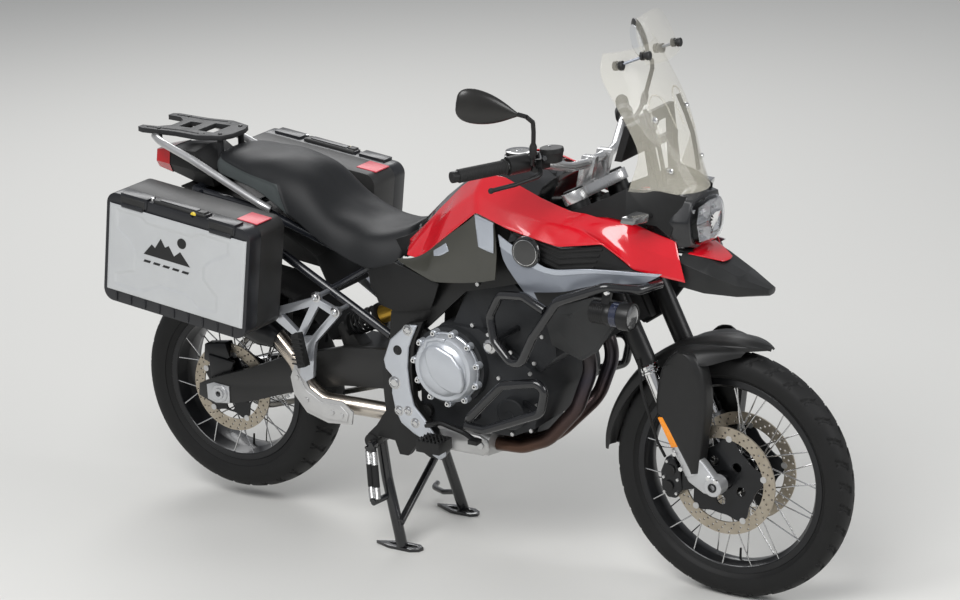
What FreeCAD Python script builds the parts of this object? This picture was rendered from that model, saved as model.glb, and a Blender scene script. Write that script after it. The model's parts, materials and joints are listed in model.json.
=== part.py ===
"""Adventure motorcycle on its centre stand, with two side cases: one STEP file for each sub-part.

Millimetres. +X points forward, +Y to the rider's left, +Z up. Sizes are measured from the rear axle's
line and the floor; the finished part is then shifted so that its origin is at the middle of its
length and width, on the floor.
"""
import FreeCAD, Part
import math
import os

V = FreeCAD.Vector
ACROSS = V(0, 1, 0)
UP = V(0, 0, 1)

# Wheels: axle places, tyre sizes 90/90-21 and 150/70-17, rims, discs
AXLE_SPAN = 1603.0
FRONT_TYRE_R = 347.7
FRONT_TYRE_W = 90.0
FRONT_RIM_SEAT_R = 266.0
FRONT_RIM_W = 68.0
REAR_TYRE_R = 321.0
REAR_TYRE_W = 150.0
REAR_RIM_SEAT_R = 218.0
REAR_RIM_W = 122.0
REAR_LIFT = 33.0
RIM_FLANGE = 10.0
RIM_WALL = 5.0
SEAT_GAP = 0.3
SPOKE_R = 2.0
SPOKES = 36
FRONT_AXLE_R = 12.5
FRONT_AXLE_BORE_R = 8.5
REAR_AXLE_R = 14.0
RUNNING_GAP = 0.3
FRONT_DISC_R = 152.5
FRONT_DISC_Y = 62.0
REAR_DISC_R = 132.5
REAR_DISC_Y = 72.0
DISC_T = 5.0
DISC_BAND = 34.0
PAD_GAP = 2.5

# Final drive: tooth counts and the chain's pitch, width and plane
CHAIN_PITCH = 15.875
REAR_TEETH = 42
FRONT_TEETH = 17
CHAIN_Y = 92.0
CHAIN_W = 16.0
DRIVE_X = 740.0
DRIVE_Z = 525.0
CHAIN_INNER_W = 9.0
LINK_H = 14.0

# Steering head: rake of the fork, the axle's lead over the legs, the yokes' offset
RAKE = math.radians(26.0)
AXLE_LEAD = 55.0
YOKE_OFFSET = 9.0
LEG_Y = 105.0
LEG_R = 27.0
STANCHION_R = 21.5
LEG_LOW_Z = 645.0
LEG_TOP_Z = 1112.0
HEAD_LOW_Z = 935.0
HEAD_TOP_Z = 1065.0
HEAD_R = 33.0
STEM_R = 15.0
YOKE_T = 30.0

# Rear: swinging arm, its pivot, and the centre stand
PIVOT_X = 640.0
PIVOT_Z = 514.0
ARM_Y = 104.0
ARM_T = 28.0
STAND_PIVOT_X = 562.0
STAND_PIVOT_Z = 321.0
STAND_FOOT_X = 641.0
STAND_FOOT_Y = 164.0
STAND_TOP_Y = 145.0
STAND_FOOT_T = 9.0
STAND_TUBE_R = 16.0
STAND_PIN_R = 9.0
SIDE_PIVOT_X = 668.0
SIDE_PIVOT_Z = 322.0
SIDE_PIN_R = 7.0
STAND_HUB_OUT_Y = 164.0
STAND_HUB_IN_Y = 124.0
PLATE_IN_Y = 166.0
PLATE_OUT_Y = 190.0

# Side cases: one box, split where the lid's seam runs; nose-down by the carrier's slope
CASE_X = 62.0
CASE_Z = 822.0
CASE_L = 490.0
CASE_H = 322.0
CASE_IN_Y = 228.0
CASE_SEAM_Y = 338.0
CASE_OUT_Y = 392.0
CASE_WALL = 4.0
CASE_CORNER = 34.0
CASE_SLOPE = 6.6
SEAM_GAP = 0.5

# Frame and bars
FRAME_TUBE_R = 12.5
RAIL_R = 11.0
GUARD_R = 12.5
BAR_R = 14.0
GRIP_R = 17.0
GRIP_END_Y = 430.0
MIRROR_OUT_Y = 461.0
PANEL_T = 4.0
SCREEN_T = 4.0
HANGER_TIP_X = -354.0

# Guards, brakes, engine covers and pipes; caliper places are from the wheel's axle
FENDER_R = 388.0
FENDER_T = 3.5
FENDER_HALF = 64.0
FENDER_SIDE = 34.0
CALIPER_X = -134.0
CALIPER_Z = -8.0
CLUTCH_X = 816.0
CLUTCH_Z = 578.0
CLUTCH_R = 98.0
COVER_Y = 176.0
HEADER_R = 20.0
LINK_PIPE_R = 25.0
CAN_R = 46.0
SLATS = 4
COILS = 5
COWL_RIM_R = 5.0

# Rack, fuel cap and the small hinges of the cap and the case lids
RACK_Z = 1094.0
RACK_T = 14.0
RACK_BOLT_X = -112.0
RACK_BOLT_DX = 100.0
RACK_BOLT_DY = 130.0
RACK_BOLT_R = 3.3
CAP_X = 950.0
CAP_R = 38.0
CAP_T = 12.0
NECK_TOP_Z = 1152.0
HINGE_PIN_R = 2.5
KNUCKLE_R = 6.0
CAP_HINGE_X = 996.0
CAP_HINGE_Z = 1158.0
CAP_LUG_Y = 16.0
LID_HINGE_DROP = 9.0
LID_KNUCKLE_HALF = 60.0
LUG_W = 40.0
MOVING_GAP = 5.0

# Offcuts of a notch, smaller than this volume, are left out
SLIVER = 500.0

FRONT_X = AXLE_SPAN
FRONT_Z = FRONT_TYRE_R
REAR_Z = REAR_TYRE_R + REAR_LIFT
MIDDLE_X = (FRONT_X + FRONT_TYRE_R + HANGER_TIP_X) / 2
AXIS_UP = V(-math.sin(RAKE), 0, math.cos(RAKE))
HEAD_MID_Z = (HEAD_LOW_Z + HEAD_TOP_Z) / 2


def leg_x(z):
    """X of the fork legs' centre line at height z."""
    return FRONT_X - AXLE_LEAD - (z - FRONT_Z) * math.tan(RAKE)


def stem_x(z):
    """X of the steering axis at height z."""
    return leg_x(z) - YOKE_OFFSET


NOSE_X = stem_x(HEAD_MID_Z)


def nose(x, y, z):
    """A point of what the steering head carries: x is ahead of the head's middle."""
    return V(NOSE_X + x, y, z)


def box(x0, x1, y0, y1, z0, z1):
    return Part.makeBox(x1 - x0, y1 - y0, z1 - z0, V(x0, y0, z0))


def rod(a, b, r):
    return Part.makeCylinder(r, (b - a).Length, a, b - a)


def ring(a, b, r, bore):
    return rod(a, b, r).cut(rod(a - (b - a), b + (b - a), bore))


def taper(a, b, r0, r1):
    return Part.makeCone(r0, r1, (b - a).Length, a, b - a)


def fuse(shapes):
    whole = shapes[0]
    if len(shapes) > 1:
        whole = whole.multiFuse(shapes[1:])
    return whole


def mirrored(shape):
    return shape.mirror(V(0, 0, 0), ACROSS)


def both(shape):
    """A right-hand piece and its left-hand twin, as solids that don't touch."""
    return Part.makeCompound(shape.Solids + mirrored(shape).Solids)


def route(points, bend):
    """A wire of straight runs joined by tangent arcs."""
    edges = []
    here = points[0]
    for before, corner, after in zip(points, points[1:], points[2:]):
        run_in = corner - before
        run_out = after - corner
        half = run_in.getAngle(run_out) / 2
        shorter = min(run_in.Length, run_out.Length)
        radius = min(bend, 0.45 * shorter / math.tan(half))
        cut = radius * math.tan(half)
        u = V(run_in).normalize()
        w = V(run_out).normalize()
        start = corner - u * cut
        end = corner + w * cut
        inner = V(w - u).normalize()
        middle = corner + inner * (radius / math.cos(half) - radius)
        edges.append(Part.LineSegment(here, start).toShape())
        edges.append(Part.Arc(start, middle, end).toShape())
        here = end
    edges.append(Part.LineSegment(here, points[-1]).toShape())
    return Part.Wire(edges)


def tube(points, r, bend=60.0):
    """A round bar bent along points."""
    if len(points) == 2:
        return rod(points[0], points[1], r)
    path = route(points, bend)
    circle = Part.Wire(Part.Circle(points[0], points[1] - points[0], r).toShape())
    return path.makePipeShell([circle], True, False)


def polygon(points):
    return Part.Face(Part.makePolygon(points + [points[0]]))


def plate(outline, y0, y1):
    """A flat plate: an outline of (x, z) points, from y0 to y1."""
    return polygon([V(x, y0, z) for x, z in outline]).extrude(V(0, y1 - y0, 0))


def strip(outline, width, y0, y1):
    """A bent band seen from the side: an open line of (x, z) points, as wide as stated, y0 to y1."""
    runs = []
    for (xa, za), (xb, zb) in zip(outline, outline[1:]):
        along = V(xb - xa, 0, zb - za).normalize()
        side = V(-along.z, 0, along.x) * (width / 2)
        a = V(xa, y0, za)
        b = V(xb, y0, zb)
        runs.append(polygon([a + side, b + side, b - side, a - side]).extrude(V(0, y1 - y0, 0)))
        runs.append(Part.makeCylinder(width / 2, y1 - y0, a, ACROSS))
    end_x, end_z = outline[-1]
    runs.append(Part.makeCylinder(width / 2, y1 - y0, V(end_x, y0, end_z), ACROSS))
    return fuse(runs)


def spun(profile, x, z, turn=360.0):
    """A ring about an axle: a closed profile of (y, r) points, spun from straight below the axle."""
    face = polygon([V(x, y, z - r) for y, r in profile])
    return face.revolve(V(x, 0, z), ACROSS, turn)


def loft(sections):
    """A solid with flat or gently twisted sides through polygons of as many points each."""
    return Part.makeLoft([Part.makePolygon(s + [s[0]]) for s in sections], True, True)


def cross_loft(stations):
    """A body symmetric about the middle plane. A station is x and its right-hand (y, z) points."""
    sections = []
    for x, half in stations:
        right = [V(x, -y, z) for y, z in half]
        left = [V(x, y, z) for y, z in reversed(half)]
        sections.append(right + left)
    return loft(sections)


def closed(faces):
    """A solid from faces that meet edge to edge."""
    shell = Part.Shell(faces)
    shell.sewShape()
    if Part.makeSolid(shell).Volume < 0:
        shell.reverse()
    return Part.makeSolid(shell)


def skin(rows, inward):
    """A thin wall of flat facets: rows of points, and the same rows moved by inward."""
    outer = [list(row) for row in rows]
    inner = [[p + inward for p in row] for row in rows]
    last_row = len(rows) - 1
    last_col = len(rows[0]) - 1
    faces = []

    def wall(a, b, c, d):
        faces.append(polygon([a, b, c]))
        faces.append(polygon([a, c, d]))

    def facet(a, b, c, d):
        """Halved along the diagonal whose two halves face the same way."""
        one = (b - a).cross(c - a).dot(inward)
        other = (c - a).cross(d - a).dot(inward)
        if one * other > 0:
            wall(a, b, c, d)
        else:
            wall(b, c, d, a)

    for i in range(last_row):
        for j in range(last_col):
            facet(outer[i][j], outer[i][j + 1], outer[i + 1][j + 1], outer[i + 1][j])
            facet(inner[i][j], inner[i + 1][j], inner[i + 1][j + 1], inner[i][j + 1])
    for j in range(last_col):
        wall(outer[0][j], inner[0][j], inner[0][j + 1], outer[0][j + 1])
        wall(outer[last_row][j], outer[last_row][j + 1], inner[last_row][j + 1], inner[last_row][j])
    for i in range(last_row):
        wall(outer[i][0], outer[i + 1][0], inner[i + 1][0], inner[i][0])
        wall(outer[i][last_col], inner[i][last_col], inner[i + 1][last_col], outer[i + 1][last_col])
    return closed(faces)


def shield(middle, outline, inward):
    """A thin cover of flat facets that meet at a middle point, inside an outline of points."""
    faces = []
    count = len(outline)
    for i in range(count):
        a = outline[i]
        b = outline[(i + 1) % count]
        faces.append(polygon([middle, a, b]))
        faces.append(polygon([middle + inward, b + inward, a + inward]))
        faces.append(polygon([a, a + inward, b + inward]))
        faces.append(polygon([a, b + inward, b]))
    return closed(faces)


def tyre(x, z, r, width, rim_seat, rim_width):
    seat = rim_seat + SEAT_GAP
    bead = rim_width / 2 - RIM_WALL - SEAT_GAP
    half = width / 2
    depth = r - seat
    side = [(-bead, seat), (-bead, seat + RIM_FLANGE), (-half, seat + 0.52 * depth),
            (-0.88 * half, seat + 0.80 * depth), (-0.48 * half, seat + 0.965 * depth)]
    return spun(side + [(0, r)] + [(-y, s) for y, s in reversed(side)], x, z)


def wire_wheel(x, z, rim_seat, rim_width, hub_half, flange_r, bore):
    """Rim, hub and crossed spokes that reach the rim's outer edges, joined."""
    half = rim_width / 2
    lip = rim_seat + RIM_FLANGE
    well = rim_seat - 3 * RIM_WALL
    rim = spun([(-half, lip), (-half + RIM_WALL, lip), (-half + RIM_WALL, rim_seat),
                (-0.5 * half, rim_seat), (-0.3 * half, well), (0.3 * half, well),
                (0.5 * half, rim_seat), (half - RIM_WALL, rim_seat), (half - RIM_WALL, lip),
                (half, lip), (half, rim_seat - 2 * RIM_WALL), (0.35 * half, well - RIM_WALL),
                (-0.35 * half, well - RIM_WALL), (-half, rim_seat - 2 * RIM_WALL)], x, z)
    hub = spun([(-hub_half, bore), (-hub_half, bore + 14), (-0.62 * hub_half, bore + 14),
                (-0.62 * hub_half, flange_r), (-0.50 * hub_half, flange_r), (-0.44 * hub_half, bore + 12),
                (0.44 * hub_half, bore + 12), (0.50 * hub_half, flange_r), (0.62 * hub_half, flange_r),
                (0.62 * hub_half, bore + 14), (hub_half, bore + 14), (hub_half, bore)], x, z)
    spokes = []
    for i in range(SPOKES):
        side = 1 if i % 2 else -1
        lean = math.radians(58.0) * (1 if (i // 2) % 2 else -1)
        at_rim = 2 * math.pi * (i + 0.5) / SPOKES
        at_hub = at_rim + lean
        r_rim = rim_seat - 1.2 * RIM_WALL
        r_hub = flange_r - 5
        a = V(x + r_rim * math.cos(at_rim), side * (half - RIM_WALL), z + r_rim * math.sin(at_rim))
        b = V(x + r_hub * math.cos(at_hub), side * 0.56 * hub_half, z + r_hub * math.sin(at_hub))
        spokes.append(rod(a, b, SPOKE_R))
    return fuse([rim, hub] + spokes)


def brake_disc(x, y, z, r, arms, bolt_r, hub_r):
    """A brake ring with its spider of arms, in a plane at y."""
    low = V(x, y - DISC_T / 2, z)
    high = V(x, y + DISC_T / 2, z)
    pieces = [ring(low, high, r, r - DISC_BAND), ring(low, low + ACROSS * 16, hub_r + 12, hub_r)]
    for i in range(arms):
        angle = 2 * math.pi * i / arms + 0.3
        swept = angle + 0.25
        a = V(x + (hub_r + 6) * math.cos(angle), low.y, z + (hub_r + 6) * math.sin(angle))
        b = V(x + (r - DISC_BAND + 6) * math.cos(swept), low.y, z + (r - DISC_BAND + 6) * math.sin(swept))
        along = V(b - a).normalize()
        side = V(-along.z, 0, along.x) * 9
        pieces.append(polygon([a + side, b + side * 0.8, b - side * 0.8, a - side]).extrude(V(0, DISC_T, 0)))
        pieces.append(Part.makeCylinder(bolt_r, DISC_T + 3, V(b.x, low.y - 1.5, b.z), ACROSS))
    return fuse(pieces)


# Steered pieces

def axis_point(z, forward=0.0, y=0.0):
    """A point beside the steering axis at height z, moved square to the axis."""
    return V(stem_x(z) + forward * math.cos(RAKE), y, z + forward * math.sin(RAKE))


def leg_point(z, y):
    return V(leg_x(z), y, z)


def yokes():
    """Two triple clamps joined by the stem that turns in the head tube."""
    pieces = [rod(axis_point(HEAD_LOW_Z - 20), axis_point(HEAD_TOP_Z + 20), STEM_R)]
    for z, width in ((HEAD_LOW_Z - 8, LEG_R + 12), (HEAD_TOP_Z + 8 + YOKE_T, LEG_R + 8)):
        middle = axis_point(z, YOKE_OFFSET / 2)
        down = AXIS_UP * -YOKE_T
        right = V(leg_x(z), -LEG_Y, z) + AXIS_UP * (YOKE_OFFSET * math.sin(RAKE))
        arm = [middle + V(width * math.cos(RAKE), 0, width * math.sin(RAKE)),
               right + V(30 * math.cos(RAKE), 6, 30 * math.sin(RAKE)),
               right + V(-30 * math.cos(RAKE), 6, -30 * math.sin(RAKE)),
               middle - V(width * math.cos(RAKE), 0, width * math.sin(RAKE))]
        half = polygon(arm).extrude(down)
        clamp = rod(right, right + down, LEG_R + 9)
        pieces += [half, mirrored(half), clamp, mirrored(clamp), rod(middle, middle + down, 30)]
    whole = fuse(pieces)
    for y in (-LEG_Y, LEG_Y):
        whole = whole.cut(rod(leg_point(LEG_LOW_Z, y), leg_point(LEG_TOP_Z + 60, y), LEG_R))
    return whole


def fork_legs():
    """Upside-down fork: black outer legs, bright stanchions, foot castings and the wheel's axle."""
    x = FRONT_X
    z = FRONT_Z
    y = -LEG_Y
    foot = plate([(x + 26, z - 8), (x + 8, z - 27), (x - 30, z - 24), (x - 76, z + 2), (x - 100, z + 48),
                  (x - 128, z + 84), (x - 112, z + 92), (x - 84, z + 66), (x - 62, z + 88),
                  (x - 30, z + 62), (x, z + 28), (x + 22, z + 16)], y - 20, y + 10)
    leg = fuse([rod(leg_point(LEG_LOW_Z, y), leg_point(LEG_TOP_Z, y), LEG_R),
                rod(leg_point(LEG_LOW_Z - 12, y), leg_point(LEG_LOW_Z + 16, y), LEG_R + 2),
                rod(leg_point(FRONT_Z + 60, y), leg_point(LEG_LOW_Z + 5, y), STANCHION_R),
                rod(leg_point(FRONT_Z + 36, y), leg_point(FRONT_Z + 120, y), LEG_R - 1),
                foot, rod(V(x, y - 24, z), V(x, y + 14, z), 27)])
    axle = rod(V(x, y - 26, z), V(x, -y + 26, z), FRONT_AXLE_R)
    bore = rod(V(x, y - 30, z), V(x, -y + 30, z), FRONT_AXLE_BORE_R)
    return fuse([leg, mirrored(leg), axle]).cut(bore)


def front_fender():
    """A long guard round the tyre with a pointed nose, and the two leg covers that it runs into."""
    half = FENDER_HALF
    top = FENDER_R
    t = FENDER_T
    side = FENDER_SIDE
    profile = [(-half, top - side), (-half, top - 12), (-0.62 * half, top), (0.62 * half, top),
               (half, top - 12), (half, top - side), (half - t, top - side), (half - t, top - 12 - t / 2),
               (0.60 * half, top - t), (-0.60 * half, top - t), (-half + t, top - 12 - t / 2),
               (-half + t, top - side)]
    face = polygon([V(FRONT_X, y, FRONT_Z + r) for y, r in profile])
    front = face.revolve(V(FRONT_X, 0, FRONT_Z), ACROSS, 17.0)
    rear = face.revolve(V(FRONT_X, 0, FRONT_Z), ACROSS, -88.0)
    guard = front.fuse(rear)
    tip = polygon([V(FRONT_X + 40, -90, 500), V(FRONT_X + 74, -90, 500), V(FRONT_X + 122, -16, 500),
                    V(FRONT_X + 122, -90, 500)]).extrude(V(0, 0, 400))
    guard = guard.cut(tip).cut(mirrored(tip))
    x = FRONT_X
    z = FRONT_Z
    outline = [(x - 154, z + 318), (x - 128, z + 352), (x - 66, z + 366), (x - 34, z + 330),
               (x - 20, z + 250),
               (x - 24, z + 190), (x - 44, z + 36), (x - 66, z + 32), (x - 116, z + 118), (x - 172, z + 192),
               (x - 168, z + 244)]
    outer_y = -LEG_Y - LEG_R - 3
    side_wall = plate(outline, outer_y - t, outer_y)
    front_edge = [(x - 34, z + 330), (x - 20, z + 250), (x - 24, z + 190), (x - 44, z + 44)]
    wrap = strip(front_edge, t, outer_y - t / 2, -LEG_Y + LEG_R - 4)
    bridge_edge = [(x - 128, z + 348), (x - 66, z + 362), (x - 34, z + 330)]
    bridge = strip(bridge_edge, t, outer_y - t / 2, -half + t)
    cover = fuse([side_wall, wrap, bridge])
    return fuse([guard, cover, mirrored(cover)])


def calipers():
    """Four-piston front calipers, each a block with a slot for its disc."""
    x = FRONT_X + CALIPER_X
    z = FRONT_Z + CALIPER_Z
    y = -FRONT_DISC_Y
    body = plate([(x - 34, z - 34), (x - 38, z + 20), (x - 22, z + 62), (x + 2, z + 66), (x + 22, z + 20),
                  (x + 26, z - 30), (x + 8, z - 58), (x - 18, z - 56)], y - 38, y + 22)
    slot = rod(V(FRONT_X, y - DISC_T / 2 - PAD_GAP, FRONT_Z), V(FRONT_X, y + DISC_T / 2 + PAD_GAP, FRONT_Z),
               FRONT_DISC_R + 8)
    ears = plate([(FRONT_X - 112, z - 32), (FRONT_X - 60, z - 16), (FRONT_X - 52, z + 14),
                  (FRONT_X - 70, z + 38),
                  (FRONT_X - 108, z + 48)], -LEG_Y + 10, -LEG_Y + 23)
    return both(body.fuse(ears).cut(slot))


def handlebar():
    """A silver tapered bar on two risers clamped to the top yoke."""
    centre = nose(-25, 0, 1178)
    points = [centre + V(-167, -GRIP_END_Y, 33), centre + V(-70, -270, 40), centre + V(-14, -120, -2),
              centre + V(-2, -70, -4), centre + V(-2, 70, -4), centre + V(-14, 120, -2),
              centre + V(-70, 270, 40), centre + V(-167, GRIP_END_Y, 33)]
    bar = tube(points, BAR_R - 1, 70)
    top = axis_point(HEAD_TOP_Z + 8 + YOKE_T, YOKE_OFFSET / 2)
    riser = loft([[top + V(-22, -52, -15), top + V(22, -52, 5), top + V(22, -30, 5), top + V(-22, -30, -15)],
                  [centre + V(-22, -52, 12), centre + V(22, -52, 12), centre + V(22, -30, 12),
                   centre + V(-22, -30, 12)]])
    return fuse([bar, riser, mirrored(riser)])


def bar_at(y):
    """A point on the bar's straight outer run, at y on the right-hand side."""
    share = (-y - 270) / (GRIP_END_Y - 270)
    return nose(-95 - 97 * share, y, 1218 - 7 * share)


def bar_controls():
    """Grips, switch blocks, levers and the round fluid reservoir, all black."""
    grip = ring(bar_at(-GRIP_END_Y - 6), bar_at(-315), GRIP_R, BAR_R - 0.8)
    weight = rod(bar_at(-GRIP_END_Y - 6), bar_at(-GRIP_END_Y - 22), 15)
    switch = ring(bar_at(-312), bar_at(-262), 25, BAR_R - 0.8)
    perch = loft([[nose(-93, -262, 1192), nose(-45, -262, 1204), nose(-45, -262, 1232),
                   nose(-93, -262, 1222)],
                  [nose(-81, -226, 1190), nose(-41, -226, 1202), nose(-41, -226, 1230),
                   nose(-81, -226, 1220)]])
    lever = tube([nose(-61, -250, 1206), nose(-33, -285, 1196), nose(-71, -360, 1184),
                  nose(-103, -424, 1180)], 6, 40)
    knob = Part.makeSphere(8, nose(-103, -424, 1180))
    right = fuse([weight.fuse(grip), switch, perch, lever, knob])
    cup = taper(nose(-29, -236, 1222), nose(-31, -236, 1258), 26, 30)
    left = mirrored(right)
    right = right.fuse(cup)
    return Part.makeCompound(right.Solids + left.Solids)


def mirrors():
    """Drop-shaped mirrors on bent stems that stand on the bar's clamps."""
    stem = tube([nose(-69, -256, 1212), nose(-61, -286, 1224), nose(-48, -300, 1268),
                 nose(-35, -321, 1350), nose(-72, -355, 1372)], 6, 30)
    inner = nose(-64, -350, 1370)
    outer = nose(-177, -MIRROR_OUT_Y, 1414)
    along = V(outer - inner)
    sections = []
    # share of the length, half height, half depth
    for share, high, deep in ((0.0, 8, 7), (0.25, 27, 14), (0.55, 44, 20), (0.85, 46, 17), (1.0, 30, 8)):
        c = inner + along * share + V(0, 0, -6 * share)
        back = V(-0.78, 0.62, 0) * deep
        up = V(0.12, 0.1, 0.98) * high
        sections.append([c + up * 0.6 + back, c + up * 0.6 - back, c + up * 0.1 - back * 1.4,
                         c - up * 0.8 - back, c - up * 0.8 + back, c + back * 1.1])
    return both(fuse([stem, loft(sections)]))


def brake_hoses():
    """Hoses from the fork legs' clips to the calipers."""
    x = FRONT_X
    z = FRONT_Z
    hose = tube([V(x - 214, -LEG_Y - 35, z + 330), V(x - 206, -LEG_Y - 35, z + 250),
                 V(x - 184, -LEG_Y - 30, z + 170), V(x - 172, -LEG_Y - 10, z + 96),
                 V(x - 160, -LEG_Y + 10, z + 50)], 4, 60)
    return both(hose)


# Wheels

def front_tyre():
    return tyre(FRONT_X, FRONT_Z, FRONT_TYRE_R, FRONT_TYRE_W, FRONT_RIM_SEAT_R, FRONT_RIM_W)


def front_rim():
    return wire_wheel(FRONT_X, FRONT_Z, FRONT_RIM_SEAT_R, FRONT_RIM_W, 56, 50, FRONT_AXLE_R + RUNNING_GAP)


def front_discs():
    return both(brake_disc(FRONT_X, -FRONT_DISC_Y, FRONT_Z, FRONT_DISC_R, 5, 10, 27.1))


def rear_tyre():
    return tyre(0, REAR_Z, REAR_TYRE_R, REAR_TYRE_W, REAR_RIM_SEAT_R, REAR_RIM_W)


def rear_rim():
    return wire_wheel(0, REAR_Z, REAR_RIM_SEAT_R, REAR_RIM_W, 66, 62, REAR_AXLE_R + RUNNING_GAP)


def rear_disc():
    return brake_disc(0, -REAR_DISC_Y, REAR_Z, REAR_DISC_R, 5, 9, 28.6)


def pitch_radius(teeth):
    return CHAIN_PITCH / 2 / math.sin(math.pi / teeth)


def rear_sprocket():
    """A toothed ring on a carrier beside the hub."""
    tip = pitch_radius(REAR_TEETH) + 3
    root = pitch_radius(REAR_TEETH) - 5
    points = []
    for i in range(REAR_TEETH):
        angle = 2 * math.pi * i / REAR_TEETH
        for share, r in ((0.12, tip), (0.36, tip), (0.50, root), (0.98, root)):
            turn = angle + share * 2 * math.pi / REAR_TEETH
            points.append((r * math.cos(turn), REAR_Z + r * math.sin(turn)))
    blank = plate(points, CHAIN_Y - 3.7, CHAIN_Y + 3.7)
    inner = Part.makeCylinder(root - 16, 10, V(0, CHAIN_Y - 5, REAR_Z), ACROSS)
    spider = []
    for i in range(5):
        angle = 2 * math.pi * i / 5
        spider.append(rod(V(0, CHAIN_Y, REAR_Z),
                          V((root - 8) * math.cos(angle), CHAIN_Y,
                            REAR_Z + (root - 8) * math.sin(angle)), 3.5))
    carrier = ring(V(0, 66.5, REAR_Z), V(0, CHAIN_Y + 4, REAR_Z), 46, REAR_AXLE_R + RUNNING_GAP)
    bore = Part.makeCylinder(REAR_AXLE_R + RUNNING_GAP, 80, V(0, 60, REAR_Z), ACROSS)
    return fuse([blank.cut(inner), carrier] + spider).cut(bore)


# Chassis

def swinging_arm():
    """Two tapered arms joined ahead of the tyre, the pivot tube, the shock's lug and the rear axle."""
    z = REAR_Z
    right = plate([(-78, z - 18), (-74, z + 18), (-20, z + 44), (110, z + 92), (240, z + 150), (430, z + 204),
                   (600, 578), (672, 552), (672, 480), (600, 462), (430, z + 92), (240, z + 38),
                   (110, z - 8), (-20, z - 40)], -ARM_Y - ARM_T, -ARM_Y)
    left = plate([(-78, z - 18), (-74, z + 18), (-20, z + 36), (110, z + 66), (300, z + 108), (500, z + 146),
                  (672, 546), (672, 488), (500, z + 100), (300, z + 62), (110, z - 4), (-20, z - 36)],
                 ARM_Y, ARM_Y + ARM_T)
    low_bridge = box(400, 500, -ARM_Y - 2, ARM_Y + 2, 446, 494)
    high_bridge = box(400, 530, -ARM_Y - 2, CHAIN_Y - 20, 470, 545)
    lug = plate([(372, 590), (384, 606), (404, 600), (450, 544), (400, 500), (390, 540)], -62, -8)
    pivot = rod(V(PIVOT_X, -ARM_Y - ARM_T, PIVOT_Z), V(PIVOT_X, ARM_Y + ARM_T, PIVOT_Z), 26)
    axle = rod(V(0, -ARM_Y - ARM_T - 5, z), V(0, ARM_Y + ARM_T + 5, z), REAR_AXLE_R)
    return fuse([right, left, low_bridge, high_bridge, lug, pivot, axle])


def chain():
    """One closed band round both sprockets."""
    r0 = pitch_radius(REAR_TEETH)
    r1 = pitch_radius(FRONT_TEETH)
    run = V(DRIVE_X, 0, DRIVE_Z - REAR_Z)
    lean = math.asin((r0 - r1) / run.Length)
    base = math.atan2(run.z, run.x)

    up = base + math.pi / 2 - lean
    low = base - math.pi / 2 + lean

    def at(c, r, angle):
        return c + V(r * math.cos(angle), 0, r * math.sin(angle))

    def loop(grow, y0, y1):
        a0 = r0 + grow
        a1 = r1 + grow
        c0 = V(0, y0, REAR_Z)
        c1 = V(DRIVE_X, y0, DRIVE_Z)
        edges = [Part.LineSegment(at(c0, a0, up), at(c1, a1, up)).toShape(),
                 Part.Arc(at(c1, a1, up), at(c1, a1, base), at(c1, a1, low)).toShape(),
                 Part.LineSegment(at(c1, a1, low), at(c0, a0, low)).toShape(),
                 Part.Arc(at(c0, a0, low), at(c0, a0, base + math.pi), at(c0, a0, up)).toShape()]
        return Part.Face(Part.Wire(edges)).extrude(V(0, y1 - y0, 0))

    pieces = []
    for y0, y1 in ((CHAIN_Y - CHAIN_W / 2, CHAIN_Y - CHAIN_INNER_W / 2),
                   (CHAIN_Y + CHAIN_INNER_W / 2, CHAIN_Y + CHAIN_W / 2)):
        pieces.append(loop(LINK_H / 2, y0, y1).cut(loop(-LINK_H / 2, y0 - 1, y1 + 1)))
    for angle in (up, low):
        a = at(V(0, CHAIN_Y, REAR_Z), r0, angle)
        b = at(V(DRIVE_X, CHAIN_Y, DRIVE_Z), r1, angle)
        pins = int((b - a).Length / CHAIN_PITCH)
        for i in range(3, pins - 2):
            c = a + (b - a) * (i / pins)
            pieces.append(rod(c - ACROSS * (CHAIN_W / 2), c + ACROSS * (CHAIN_W / 2), 4.5))
    return fuse(pieces)


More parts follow.
